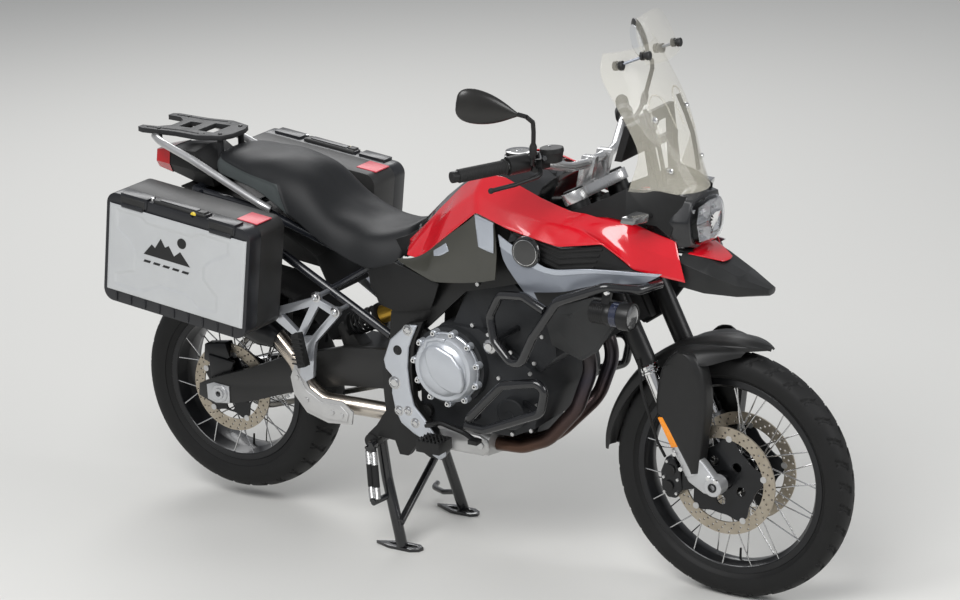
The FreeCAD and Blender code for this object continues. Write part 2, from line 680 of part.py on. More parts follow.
def engine():
    """Parallel twin: crankcase, leaning cylinders and head, side covers, sump and drive cover."""
    case = plate([(706, 400), (706, 620), (780, 690), (900, 690), (1060, 600), (1090, 520), (1070, 430),
                  (1000, 396), (820, 392)], -150, 150)
    sump = plate([(770, 393), (1010, 397), (990, 340), (800, 332)], -18, 118)
    cylinders = plate([(800, 680), (905, 690), (1080, 590), (1130, 640), (1120, 720), (1000, 830),
                       (870, 830)],
                      -128, 128)
    head = plate([(850, 826), (1030, 826), (1122, 716), (1150, 760), (1050, 880), (880, 876)], -118, 118)
    right = rod(V(CLUTCH_X, -COVER_Y, CLUTCH_Z), V(CLUTCH_X, -140, CLUTCH_Z), 112)
    left = rod(V(1000, 140, 530), V(1000, 178, 530), 92)
    pump = rod(V(1010, -172, 470), V(1010, -140, 470), 44)
    pocket_r = pitch_radius(FRONT_TEETH) + LINK_H / 2 + 6
    pocket = Part.makeCylinder(pocket_r, CHAIN_W + 14, V(DRIVE_X, CHAIN_Y - CHAIN_W / 2 - 7, DRIVE_Z), ACROSS)
    way_out = box(600, DRIVE_X, CHAIN_Y - CHAIN_W / 2 - 7, CHAIN_Y + CHAIN_W / 2 + 7,
                  DRIVE_Z - pocket_r - 16, DRIVE_Z + pocket_r)
    shaft = Part.makeCylinder(20, CHAIN_W / 2 + 10, V(DRIVE_X, CHAIN_Y - CHAIN_W / 2 - 8, DRIVE_Z), ACROSS)
    gear = Part.makeCylinder(pitch_radius(FRONT_TEETH) - LINK_H / 2 - 1, CHAIN_INNER_W - 1.4,
                             V(DRIVE_X, CHAIN_Y - CHAIN_INNER_W / 2 + 0.7, DRIVE_Z), ACROSS)
    block = fuse([case, sump, cylinders, head, right, left, pump]).cut(pocket.fuse(way_out))
    return fuse([block, shaft, gear])


def clutch_cover():
    """Round silver cover with a raised crescent and a ring of bolt bosses."""
    face_y = -COVER_Y - SEAT_GAP
    drum = taper(V(CLUTCH_X, face_y, CLUTCH_Z), V(CLUTCH_X, face_y - 34, CLUTCH_Z), CLUTCH_R, CLUTCH_R - 10)
    dome = taper(V(CLUTCH_X, face_y - 34, CLUTCH_Z), V(CLUTCH_X, face_y - 50, CLUTCH_Z), CLUTCH_R - 24, 52)
    pieces = [drum, dome]
    for i in range(11):
        angle = 2 * math.pi * i / 11 + 0.2
        at = V(CLUTCH_X + (CLUTCH_R + 4) * math.cos(angle), face_y,
               CLUTCH_Z + (CLUTCH_R + 4) * math.sin(angle))
        pieces.append(rod(at, at + V(0, -22, 0), 11))
    return fuse(pieces)


def frame_plates():
    """Cast plates at the swinging arm's pivot, which carry the rider's pegs and the centre stand."""
    outline = [(604, 520), (610, 570), (632, 634), (690, 686), (744, 700), (716, 640), (702, 560), (706, 470),
               (742, 412), (780, 378), (812, 336), (790, 304), (752, 306), (706, 330), (682, 298), (654, 298),
               (640, 336), (584, 340), (574, 306), (550, 306), (548, 340), (580, 372), (612, 420)]
    cast = plate(outline, -PLATE_OUT_Y, -PLATE_IN_Y)
    bolt = rod(V(PIVOT_X, -196, PIVOT_Z), V(PIVOT_X, -ARM_Y - ARM_T - RUNNING_GAP, PIVOT_Z), 15)
    boss = rod(V(STAND_PIVOT_X, -PLATE_OUT_Y - 4, STAND_PIVOT_Z),
               V(STAND_PIVOT_X, -PLATE_IN_Y, STAND_PIVOT_Z), 22)
    pin = rod(V(STAND_PIVOT_X, -PLATE_IN_Y, STAND_PIVOT_Z), V(STAND_PIVOT_X, -STAND_HUB_IN_Y, STAND_PIVOT_Z),
              STAND_PIN_R)
    ties = [rod(V(x, -PLATE_IN_Y - 1, z), V(x, -150, z), 18) for x, z in ((728, 652), (730, 430))]
    right = fuse([cast, bolt, boss, pin] + ties)
    side_pin = rod(V(SIDE_PIVOT_X, PLATE_OUT_Y - 1, SIDE_PIVOT_Z), V(SIDE_PIVOT_X, 224, SIDE_PIVOT_Z),
                   SIDE_PIN_R)
    return Part.makeCompound(right.Solids + mirrored(right).fuse(side_pin).Solids)


def main_frame():
    """Steel bridge frame: head tube, two deep spars down to the pivot plates, and cross pieces."""
    head = ring(axis_point(HEAD_LOW_Z), axis_point(HEAD_TOP_Z), HEAD_R, STEM_R + RUNNING_GAP)
    spar = loft([[nose(15, -22, 930), nose(15, -46, 930), nose(-31, -46, 1046), nose(-31, -22, 1046)],
                 [nose(-57, -24, 880), nose(-57, -46, 880), nose(-115, -46, 1000), nose(-115, -24, 1000)],
                 [V(1080, -112, 850), V(1080, -136, 850), V(1050, -136, 960), V(1050, -112, 960)],
                 [V(860, -128, 792), V(860, -150, 792), V(800, -150, 900), V(800, -128, 900)],
                 [V(700, -135, 640), V(700, -152, 640), V(616, -152, 700), V(616, -135, 700)],
                 [V(702, -137, 480), V(702, -154, 480), V(596, -154, 480), V(596, -137, 480)]])
    hanger = plate([(1040, 900), (1078, 880), (1150, 790), (1120, 780)], -136, -118.3)
    lower = rod(V(655, -140, 690), V(655, 140, 690), 22)
    cross = box(640, 700, -136, 136, 790, 830)
    web = plate([(640, 700), (700, 690), (700, 830), (640, 830)], -150, -132)
    whole = fuse([spar, hanger, web])
    lamp_rod = rod(axis_point(HEAD_MID_Z, HEAD_R - 3), nose(183, 0, 1040), 14)
    return fuse([head.fuse(whole).fuse(lamp_rod), mirrored(whole), lower, cross]).cut(
        rod(axis_point(HEAD_LOW_Z - 60), axis_point(HEAD_TOP_Z + 60), STEM_R + RUNNING_GAP))


def rear_subframe():
    """Bolted tubes under the seat, their cross tubes and the plates that carry the cases."""
    lower = tube([V(604, -138, 624), V(255, -138, 808), V(-70, -108, 952)], FRAME_TUBE_R, 80)
    upper = tube([V(672, -122, 810), V(420, -118, 846), V(170, -112, 922), V(-70, -108, 952)],
                 FRAME_TUBE_R, 80)
    brace = rod(V(404, -136, 730), V(560, -122, 826), 9)
    arm = rod(V(250, -136, 808), V(250, -CASE_IN_Y, 808), 8)
    tail_arm = rod(V(-40, -108, 950), V(-40, -CASE_IN_Y, 950), 8)
    side = fuse([lower, upper, brace, arm, tail_arm])
    crosses = [rod(V(x, -y, z), V(x, y, z), r) for x, y, z, r in (
        (420, 118, 846, 9), (120, 110, 928, 9), (-70, 108, 952, FRAME_TUBE_R))]
    return fuse([side, mirrored(side)] + crosses)


def exhaust_headers():
    """Two pipes from the head, down in front of the engine and under it, into one collector."""
    pipes = []
    for y, low in ((-62, -96), (58, -50)):
        pipes.append(tube([V(1112, y, 700), V(1186, y - 4, 668), V(1204, y - 6, 600), V(1160, y - 10, 480),
                           V(1082, low, 385), V(1000, low, 350), V(921, low, 346)], HEADER_R, 90))
        pipes.append(rod(V(1108, y, 702), V(1136, y, 690), HEADER_R + 12))
    return fuse(pipes)


def silencer():
    """Box under the engine with its heat shield, the pipe behind it and the raised can."""
    drum = loft([[V(920, y, z) for y, z in ((-150, 326), (-150, 368), (-126, 386), (-36, 386), (-24, 330),
                                            (-60, 312))],
                 [V(756, y, z) for y, z in ((-166, 340), (-166, 372), (-146, 388), (-60, 388), (-50, 336),
                                            (-90, 324))]])
    link = tube([V(770, -116, 362), V(690, -112, 372), V(600, -108, 384), V(480, -140, 396),
                 V(380, -160, 402), V(332, -162, 440), V(296, -162, 510), V(220, -162, 584)],
                LINK_PIPE_R, 90)
    can_front = V(240, -162, 566)
    can_rear = V(-150, -172, 708)
    can = fuse([taper(can_front, can_front + (can_rear - can_front) * 0.12, 30, CAN_R),
                rod(can_front + (can_rear - can_front) * 0.12, can_rear, CAN_R)])
    bore = rod(can_rear + (can_front - can_rear) * 0.12, can_rear + (can_rear - can_front), 24)
    shield_outline = [(500, 360), (506, 398), (470, 424), (400, 424), (360, 446), (330, 500), (312, 512),
                      (296, 470), (306, 420), (348, 372), (420, 352)]
    shell = plate(shield_outline, -196, -190)
    stay = rod(V(400, -191, 400), V(400, -160, 400), 9)
    return fuse([drum, link, can.cut(bore), shell, stay])


def radiator():
    """Finned core between two tanks, its cowls at the sides, and the fan housing behind."""
    core = plate([(1232, 690), (1264, 698), (1182, 862), (1150, 854)], -150, 150)
    tanks = plate([(1224, 682), (1272, 694), (1188, 872), (1140, 860)], -178, -150)
    stay = rod(V(1090, -138, 838), V(1160, -152, 838), 9)
    cowl = shield(V(1240, -222, 800), [V(1150, -232, 806), V(1300, -224, 860), V(1400, -196, 850),
                                       V(1340, -196, 770), V(1290, -190, 700), V(1236, -182, 664),
                                       V(1160, -200, 700)], V(-4, 6, 0))
    rim = tube([V(1300, -221, 858), V(1394, -195, 848), V(1338, -193, 771), V(1289, -187, 702),
                V(1238, -180, 667)], COWL_RIM_R, 30)
    link = rod(V(1200, -176, 800), V(1236, -224, 800), 8)
    cowl = fuse([cowl, rim, link])
    return fuse([core, tanks, mirrored(tanks), stay, mirrored(stay), cowl, mirrored(cowl)])


def tank():
    """Fuel tank with its black top cover, between the seat's nose and the steering head."""
    body = cross_loft([
        (648, [(0, 925), (60, 920), (112, 880), (112, 850), (0, 850)]),
        (760, [(0, 1040), (70, 1030), (118, 990), (150, 912), (0, 912)]),
        (850, [(0, 1112), (80, 1104), (124, 1064), (182, 930), (0, 912)]),
        (930, [(0, 1148), (88, 1142), (132, 1108), (200, 952), (0, 952)]),
        (1030, [(0, 1140), (86, 1134), (136, 1090), (204, 970), (0, 964)]),
        (1074, [(0, 1110), (82, 1106), (134, 1070), (200, 980), (0, 980)])])
    neck = rod(V(CAP_X, 0, 1100), V(CAP_X, 0, NECK_TOP_Z), CAP_R + 3)
    lug = plate([(CAP_HINGE_X - 8, 1126), (CAP_HINGE_X + 8, 1126), (CAP_HINGE_X + 5, CAP_HINGE_Z + 4),
                 (CAP_HINGE_X - 5, CAP_HINGE_Z + 4)], CAP_LUG_Y, CAP_LUG_Y + 5)
    pin = rod(V(CAP_HINGE_X, -CAP_LUG_Y - 3, CAP_HINGE_Z), V(CAP_HINGE_X, CAP_LUG_Y + 3, CAP_HINGE_Z),
              HINGE_PIN_R)
    mount = rod(V(1052, -124, 952), V(1052, -124, 990), 10)
    return fuse([body, neck, lug, mirrored(lug), pin, mount, mirrored(mount)])


def red_panels():
    """Gloss red side panels, from the seat's nose over the tank's flank to the beak."""
    # station: upper edge, crease, lower edge
    rows = [[V(662, -118, 905), V(672, -140, 892), V(684, -166, 880)],
            [V(770, -122, 1012), V(752, -150, 950), V(722, -172, 876)],
            [V(850, -130, 1090), V(826, -172, 1020), V(790, -196, 926)],
            [V(925, -140, 1132), V(925, -190, 1092), V(946, -226, 1050)],
            [V(989, -140, 1128), V(1004, -204, 1064), V(1049, -236, 1021)],
            [V(1109, -152, 1088), V(1130, -206, 1046), V(1205, -236, 992)],
            [nose(-23, -152, 1064), nose(19, -196, 1040), nose(114, -222, 1014)],
            [nose(142, -152, 1062), nose(159, -176, 1010), nose(183, -188, 944)],
            [nose(259, -96, 1004), nose(279, -110, 960), nose(295, -110, 902)]]
    return both(skin(rows, V(0, PANEL_T, -PANEL_T * 0.6)))


def knee_panels():
    """Satin dark panels below the red ones, where the rider's knees rest."""
    rows = [[V(650, -164, 862), V(656, -165, 857), V(662, -166, 852)],
            [V(722, -172, 872.5), V(726, -183, 853), V(730, -186, 836)],
            [V(790, -196, 922.5), V(790, -207, 872), V(790, -200, 823)],
            [V(870, -211.4, 986.3), V(880, -218, 908), V(885, -210, 836)],
            [V(944, -225.6, 1045), V(950, -228, 946), V(955, -218, 852)],
            [V(1006, -231.8, 1029.5), V(1012, -232, 940), V(1000, -224, 866)]]
    return both(skin(rows, V(0, PANEL_T, 0)))


def side_covers():
    """Black covers between the seat's nose and the engine."""
    rows = [[V(548, -160, 812), V(556, -160, 770), V(584, -156, 716)],
            [V(640, -165, 848), V(640, -165, 780), V(634, -158, 704)],
            [V(720, -178, 832), V(716, -174, 780), V(702, -162, 716)],
            [V(800, -192, 818), V(782, -184, 776), V(754, -166, 728)]]
    boss = rod(V(664, -148, 780), V(664, -163, 780), 9)
    return both(skin(rows, V(0, PANEL_T, 0)).fuse(boss))


def side_shrouds():
    """Silver-grey shrouds over the radiator, and the dark slatted intakes above them."""
    rows = [[V(1022, -238, 1000), V(1034, -240, 930), V(1096, -238, 852)],
            [V(1085, -246, 970), V(1110, -244, 900), V(1154, -238, 812)],
            [V(1180, -246, 925), V(1206, -244, 892), V(1250, -234, 850)],
            [V(1300, -236, 944), V(1310, -234, 920), V(1320, -228, 880)],
            [V(1484, -180, 938), V(1464, -186, 924), V(1420, -200, 900)]]
    return both(skin(rows, V(0, PANEL_T, 0)))


def intakes():
    """Dark slatted grilles between the red panels and the shrouds."""
    top = [V(1060, -226, 1012), V(1205, -224, 982), V(1330, -212, 1002), V(1400, -186, 940)]
    low = [V(1090, -228, 962), V(1200, -226, 918), V(1300, -222, 936), V(1440, -184, 930)]
    deep = 14.0
    proud = 4.0
    back = skin(list(zip(top, low)), V(0, deep, 0))
    pitch = 1 / SLATS
    slats = []
    for i in range(SLATS):
        upper = pitch * (i + 0.30)
        lower = pitch * (i + 0.70)
        rows = [[t + (b - t) * upper - ACROSS * proud, t + (b - t) * lower - ACROSS * proud]
                for t, b in zip(top[:3], low[:3])]
        slats.append(skin(rows, V(0, proud + deep / 2, 0)))
    return both(fuse([back] + slats))


def beak():
    """Pointed black beak under the headlamp."""
    shell = cross_loft([
        (NOSE_X + 267, [(0, 980), (60, 980), (96, 950), (98, 884), (60, 876), (0, 890)]),
        (NOSE_X + 339, [(0, 950), (56, 950), (88, 926), (90, 872), (50, 862), (0, 868)]),
        (NOSE_X + 419, [(0, 915), (44, 912), (62, 896), (62, 866), (34, 858), (0, 860)]),
        (FRONT_X + 110, [(0, 884), (14, 884), (20, 880), (20, 872), (12, 866), (0, 866)])])
    hollow = cross_loft([
        (NOSE_X + 265, [(0, 960), (56, 964), (90, 944), (92, 870), (50, 860), (0, 860)]),
        (NOSE_X + 339, [(0, 942), (50, 942), (82, 920), (84, 850), (46, 840), (0, 840)]),
        (NOSE_X + 419, [(0, 907), (38, 904), (54, 890), (54, 840), (30, 830), (0, 830)])])
    blades = []
    for side in (-1, 1):
        blades.append(loft([[nose(263, side * 84, 958), nose(263, side * 92, 958), nose(339, side * 84, 946),
                             nose(339, side * 60, 946)],
                            [nose(299, side * 84, 1030), nose(303, side * 90, 1026),
                             nose(341, side * 70, 1000),
                             nose(335, side * 64, 1004)]]))
    return fuse([shell.cut(hollow)] + blades)


def headlamp():
    """Lamp housing with its clear lens, hooded by the black mask."""
    housing = cross_loft([
        (NOSE_X + 179, [(0, 1110), (86, 1104), (110, 1060), (104, 994), (60, 976), (0, 976)]),
        (NOSE_X + 249, [(0, 1126), (84, 1116), (108, 1060), (98, 988), (56, 972), (0, 972)]),
        (NOSE_X + 295, [(0, 1118), (74, 1108), (92, 1056), (82, 992), (50, 980), (0, 980)])])
    lens = cross_loft([
        (NOSE_X + 295, [(0, 1104), (64, 1098), (78, 1052), (68, 998), (44, 986), (0, 984)]),
        (NOSE_X + 319, [(0, 1090), (50, 1086), (66, 1050), (58, 1004), (36, 994), (0, 992)])])
    return housing.fuse(lens)


def screen_row(z, x_mid, x_edge, y_edge):
    """One level of the screen, from its right edge to its left edge, measured from the head."""
    return [nose(x_edge, -y_edge, z), nose(x_edge + (x_mid - x_edge) * 0.62, -0.66 * y_edge, z),
            nose(x_mid - (x_mid - x_edge) * 0.08, -0.30 * y_edge, z),
            nose(x_mid - (x_mid - x_edge) * 0.08, 0.30 * y_edge, z),
            nose(x_edge + (x_mid - x_edge) * 0.62, 0.66 * y_edge, z), nose(x_edge, y_edge, z)]


def screen():
    """Clear screen, creased and swept back."""
    rows = [screen_row(1128, 305, 141, 145), screen_row(1242, 249, 183, 148),
            screen_row(1325, 209, 153, 165), screen_row(1440, 151, 79, 168),
            screen_row(1498, 121, 67, 132)]
    return skin(rows, V(-SCREEN_T, 0, 0))


def screen_extension():
    """A small clear deflector on two jointed clamps at the screen's top."""
    rows = [[nose(171, -88, 1474), nose(183, -44, 1468), nose(183, 44, 1468), nose(171, 88, 1474)],
            [nose(145, -92, 1545), nose(165, -46, 1545), nose(165, 46, 1545), nose(145, 92, 1545)],
            [nose(129, -50, 1596), nose(145, -26, 1600), nose(145, 26, 1600), nose(129, 50, 1596)]]
    pane = skin(rows, V(-SCREEN_T, 0, 0))
    pieces = [pane]
    for side in (-1, 1):
        a = nose(97, side * 110, 1462)
        b = nose(163, side * 84, 1490)
        pieces += [rod(a, b, 4), rod(a + V(-12, 0, -4), a + V(10, 0, 4), 13),
                   rod(b + V(-10, 0, -3), b + V(10, 0, 3), 12)]
    return fuse(pieces)


def cockpit():
    """Black inner fairing that carries the screen, with the round-cornered display."""
    wing = skin([[nose(-25, -146, 1064), nose(-11, -150, 1050)], [nose(79, -148, 1112), nose(89, -160, 1066)],
                 [nose(141, -146, 1146), nose(151, -170, 1066)], [nose(219, -112, 1140),
                                                                  nose(219, -128, 1050)],
                 [nose(279, -76, 1122), nose(249, -112, 1020)]], V(0, PANEL_T, 0))
    mast = loft([[nose(169, -60, 1100), nose(199, -60, 1100), nose(199, 60, 1100), nose(169, 60, 1100)],
                 [nose(145, -84, 1330), nose(159, -84, 1330), nose(159, 84, 1330), nose(145, 84, 1330)]])
    window = loft([[nose(79, -40, 1130), nose(279, -40, 1130), nose(279, 40, 1130), nose(79, 40, 1130)],
                   [nose(79, -56, 1300), nose(279, -56, 1300), nose(279, 56, 1300), nose(79, 56, 1300)]])
    display = loft([[nose(69, -82, 1196), nose(91, -82, 1196), nose(91, 82, 1196), nose(69, 82, 1196)],
                    [nose(101, -82, 1296), nose(123, -82, 1296), nose(123, 82, 1296), nose(101, 82, 1296)]])
    arm = fuse([box(NOSE_X + 89, NOSE_X + 157, -10, 10, 1236, 1256),
                box(NOSE_X + 155, NOSE_X + 171, -84, 84, 1236, 1256)])
    base = box(NOSE_X + 159, NOSE_X + 209, -112, 112, 1096, 1112)
    return fuse([wing, mirrored(wing), mast.cut(window), display, arm, base])


def seat():
    """Stepped seat: low rider's part, raised pillion, hollow below between its side skirts."""
    cushion = cross_loft([
        (-18, [(0, 1050), (50, 1044), (62, 1020), (0, 1016)]),
        (20, [(0, 1070), (88, 1058), (112, 1012), (0, 984)]),
        (150, [(0, 1068), (104, 1056), (136, 1000), (0, 946)]),
        (268, [(0, 1056), (112, 1036), (146, 950), (0, 912)]),
        (340, [(0, 1034), (116, 1000), (152, 900), (0, 880)]),
        (420, [(0, 938), (124, 922), (156, 856), (0, 868)]),
        (520, [(0, 906), (126, 896), (156, 816), (0, 868)]),
        (590, [(0, 920), (110, 908), (150, 806), (0, 868)]),
        (644, [(0, 940), (84, 926), (116, 868), (0, 868)])])
    return cushion.cut(box(300, 700, -140, 140, 700, 868))


def luggage_rack():
    """Black moulded rack with a forked tail and two openings."""
    outline = [(-282, -62), (-282, -84), (-262, -92), (-150, -84), (-70, -92), (0, -66), (14, -30), (14, 30),
               (0, 66), (-70, 92), (-150, 84), (-262, 92), (-282, 84), (-282, 62), (-232, 56), (-204, 28),
               (-204, -28), (-232, -56)]
    top = polygon([V(x, y, 0) for x, y in outline]).extrude(V(0, 0, RACK_T))
    for x0, x1, half in ((-176, -134, 30), (-100, -44, 44)):
        top = top.cut(box(x0, x1, -half, half, -5, 20))
    posts = [Part.makeCylinder(9, 64, V(-16, y, -64)) for y in (-50, 50)]
    posts += [Part.makeCylinder(9, 30, V(-215, y, -28)) for y in (-74, 74)]
    whole = fuse([top] + posts)
    for x in (RACK_BOLT_X - RACK_BOLT_DX / 2, RACK_BOLT_X + RACK_BOLT_DX / 2):
        for y in (-RACK_BOLT_DY / 2, RACK_BOLT_DY / 2):
            whole = whole.cut(Part.makeCylinder(RACK_BOLT_R, 60, V(x, y, -5)))
    whole.translate(V(0, 0, RACK_Z))
    return whole


def grab_rails():
    """Two silver rails from the subframe up to the rack's tail."""
    rail = tube([V(214, -142, 938), V(188, -150, 952), V(60, -140, 1000), V(-60, -132, 1048),
                 V(-176, -122, 1084), V(-226, -80, 1086)], RAIL_R, 120)
    foot = rod(V(200, -146, 945), V(190, -112, 934), 9)
    return both(fuse([rail, foot]))


def tail_lamp():
    """Red lamp on a black tail cover."""
    lamp = cross_loft([(-252, [(0, 1036), (40, 1034), (46, 1000), (34, 980), (0, 980)]),
                       (-196, [(0, 1048), (52, 1046), (58, 1000), (44, 972), (0, 972)])])
    cover = cross_loft([(-196, [(0, 1046), (50, 1044), (56, 1000), (42, 974), (0, 974)]),
                        (-90, [(0, 1060), (76, 1052), (84, 1000), (70, 960), (0, 960)]),
                        (-22, [(0, 1010), (80, 1006), (90, 990), (80, 958), (0, 958)])])
    return lamp.fuse(cover)


def rear_guards():
    """Inner mudguard under the seat, the hugger over the tyre and the plate hanger."""
    inner = strip([(380, 700), (330, 800), (180, 880), (0, 926), (-130, 950)], 5, -92, 92)
    hanger = strip([(-120, 950), (-230, 880), (-300, 740), (HANGER_TIP_X + 4, 600)], 7, -34, 34)
    board = plate([(HANGER_TIP_X, 590), (HANGER_TIP_X + 12, 586), (HANGER_TIP_X + 50, 716),
                   (HANGER_TIP_X + 40, 720)], -90, 90)
    hugger = strip([(372, 560), (330, 600), (240, 658), (140, 694), (60, 704)], 4, -86, 70)
    arm = rod(V(230, -108, 482), V(230, -84, 660), 7)
    stay = rod(V(-70, -60, 953), V(-70, 60, 953), 7)
    return Part.makeCompound(fuse([inner, hanger, board, stay]).Solids + fuse([hugger, arm]).Solids)


def indicators():
    """Four stalked indicators."""
    front = fuse([rod(nose(205, -104, 1074), nose(199, -168, 1080), 7),
                  loft([[nose(175, -168, 1068), nose(215, -168, 1070), nose(219, -168, 1094),
                         nose(179, -168, 1096)],
                        [nose(165, -228, 1076), nose(203, -228, 1076), nose(207, -228, 1092),
                         nose(171, -228, 1094)]])])
    rear = fuse([rod(V(-262, -32, 812), V(-270, -92, 814), 7),
                 loft([[V(-292, -92, 804), V(-256, -92, 802), V(-254, -92, 826), V(-290, -92, 826)],
                       [V(-288, -150, 808), V(-262, -150, 808), V(-260, -150, 822), V(-286, -150, 822)]])])
    return Part.makeCompound(front.Solids + mirrored(front).Solids + rear.Solids + mirrored(rear).Solids)


def case_box(y_near, y_far, grow=0.0):
    """The case's rounded outline between two planes, in its sloping place on the right-hand side."""
    half_l = CASE_L / 2 + grow
    half_h = CASE_H / 2 + grow
    block = Part.makeBox(2 * half_l, y_far - y_near, 2 * half_h, V(-half_l, -y_far, -half_h))
    edges = [e for e in block.Edges if abs(e.tangentAt(e.FirstParameter).y) > 0.9]
    block = block.makeFillet(CASE_CORNER + grow, edges)
    block.rotate(V(0, 0, 0), ACROSS, CASE_SLOPE)
    block.translate(V(CASE_X, 0, CASE_Z))
    return block


def case_point(u, y, v):
    """A point of the case: u along it, v up it, in the case's own slope."""
    slope = math.radians(CASE_SLOPE)
    return V(CASE_X + u * math.cos(slope) + v * math.sin(slope), y,
             CASE_Z - u * math.sin(slope) + v * math.cos(slope))


def lid_axis(u):
    """A point of the lid's hinge axis, just under the seam."""
    return case_point(u, -CASE_SEAM_Y, -CASE_H / 2 - LID_HINGE_DROP)


def case_bar(u0, u1, y0, y1, v0, v1):
    """A straight-sided block in the case's own slope."""
    face = polygon([case_point(u0, y0, v0), case_point(u1, y0, v0), case_point(u1, y0, v1),
                    case_point(u0, y0, v1)])
    return face.extrude(V(0, y1 - y0, 0))


def case_shells():
    """Black inner shells of the two cases, open at the seam, with feet, hinge lugs and pin."""
    shell = case_box(CASE_IN_Y, CASE_SEAM_Y - SEAM_GAP).cut(
        case_box(CASE_IN_Y + CASE_WALL, CASE_SEAM_Y + 10, -CASE_WALL))
    bottom = -CASE_H / 2
    pieces = [shell]
    for side in (-1, 1):
        near = side * (LID_KNUCKLE_HALF + MOVING_GAP)
        far = near + side * LUG_W
        pieces.append(case_bar(side * 120, side * 180, 60 - CASE_SEAM_Y, 4 - CASE_SEAM_Y, bottom - 8,
                               bottom + 1))
        pieces.append(rod(lid_axis(near), lid_axis(far), KNUCKLE_R))
        pieces.append(case_bar(near, far, SEAM_GAP - CASE_SEAM_Y, 10 - CASE_SEAM_Y,
                               bottom - LID_HINGE_DROP, bottom + 1))
    half_pin = LID_KNUCKLE_HALF + MOVING_GAP + LUG_W / 2
    pieces.append(rod(lid_axis(-half_pin), lid_axis(half_pin), HINGE_PIN_R))
    return both(fuse(pieces))


def case_lid():
    """The outer half of the right case: black rim, silver panel, two latches and a handle."""
    lid = case_box(CASE_SEAM_Y, CASE_OUT_Y).cut(
        case_box(CASE_SEAM_Y - 10, CASE_OUT_Y - CASE_WALL, -CASE_WALL))
    high = CASE_H / 2 + 7
    pieces = [lid, rod(lid_axis(-LID_KNUCKLE_HALF), lid_axis(LID_KNUCKLE_HALF), KNUCKLE_R),
              case_bar(-LID_KNUCKLE_HALF, LID_KNUCKLE_HALF, -CASE_SEAM_Y - 9, -CASE_SEAM_Y,
                       -CASE_H / 2 - LID_HINGE_DROP - 2, -CASE_H / 2 + 1)]
    # latch or handle: place along the case, length, how far its face lies behind the latches'
    for u, length, deep in ((-150, 90, 0), (150, 90, 0), (0, 180, 10)):
        pieces.append(case_bar(u - length / 2, u + length / 2, deep - CASE_OUT_Y - 4, 38 - CASE_OUT_Y,
                               high - 30, high))
    half_l = CASE_L / 2 - 12
    panel = []
    for y, shrink in ((-CASE_OUT_Y - 6, 6), (-CASE_OUT_Y + 1, 0)):
        panel.append([case_point(u, y, v) for u, v in (
            (-half_l + shrink, -126 + shrink), (half_l - 16 - shrink, -126 + shrink),
            (half_l - shrink, -110 + shrink), (half_l - shrink, 116 - shrink),
            (half_l - 16 - shrink, 130 - shrink), (-half_l + shrink, 130 - shrink))])
    pieces.append(loft(panel))
    whole = fuse(pieces).removeSplitter()
    return whole.cut(rod(lid_axis(-CASE_L / 2), lid_axis(CASE_L / 2), HINGE_PIN_R + RUNNING_GAP))


def left_case_lid():
    return mirrored(case_lid())


def peg_hangers():
    """Open silver castings that carry the passenger's pegs, and the pegs' rubbers."""
    y0, y1 = -214, -199
    outline = [(256, 672), (392, 724), (395, 739), (416, 739), (420, 721), (462, 706), (480, 706), (484, 686),
               (472, 672), (400, 594), (394, 566), (386, 487), (360, 471), (342, 489), (350, 560), (334, 598),
               (268, 638), (256, 650)]
    casting = plate(outline, y0, y1)
    for hole in ([(288, 660), (384, 696), (342, 616)], [(414, 702), (454, 684), (386, 608), (356, 604)]):
        casting = casting.cut(plate(hole, y0 - 5, y1 + 5))
    bolts = [rod(V(x, y0 - 6, z), V(x, -150.8, z), 7) for x, z in ((406, 728), (470, 694))]
    rubber = loft([[V(346, -231, 621), V(370, -231, 627), V(392, -231, 533), V(366, -231, 525)],
                   [V(346, -258, 621), V(370, -258, 627), V(392, -258, 533), V(366, -258, 525)]])
    link = rod(V(366, y0 + 4, 540), V(374, -240, 548), 8)
    return both(fuse([casting, link, rubber] + bolts))


def foot_controls():
    """Rider's toothed pegs, brake pedal and gear lever."""
    peg = fuse([rod(V(800, -190.3, 352), V(800, -206, 360), 12),
                box(762, 836, -272, -204, 352, 384)])
    for i in range(3):
        peg = peg.cut(box(772 + 22 * i, 784 + 22 * i, -266, -212, 340, 400))
    pedal = tube([V(748, -196, 400), V(800, -204, 420), V(880, -206, 404), V(930, -230, 396)], 7, 30)
    pedal = pedal.fuse(rod(V(748, -189, 400), V(748, -200, 400), 12)).fuse(box(916, 944, -250, -222, 392,
                                                                               404))
    lever = tube([V(748, 196, 400), V(830, 206, 380), V(900, 206, 394), V(930, 232, 396)], 6, 30)
    lever = lever.fuse(rod(V(748, 189, 400), V(748, 200, 400), 12)).fuse(rod(V(930, 222, 396),
                                                                             V(930, 250, 396), 9))
    return Part.makeCompound(peg.Solids + mirrored(peg).Solids + pedal.Solids + lever.Solids)


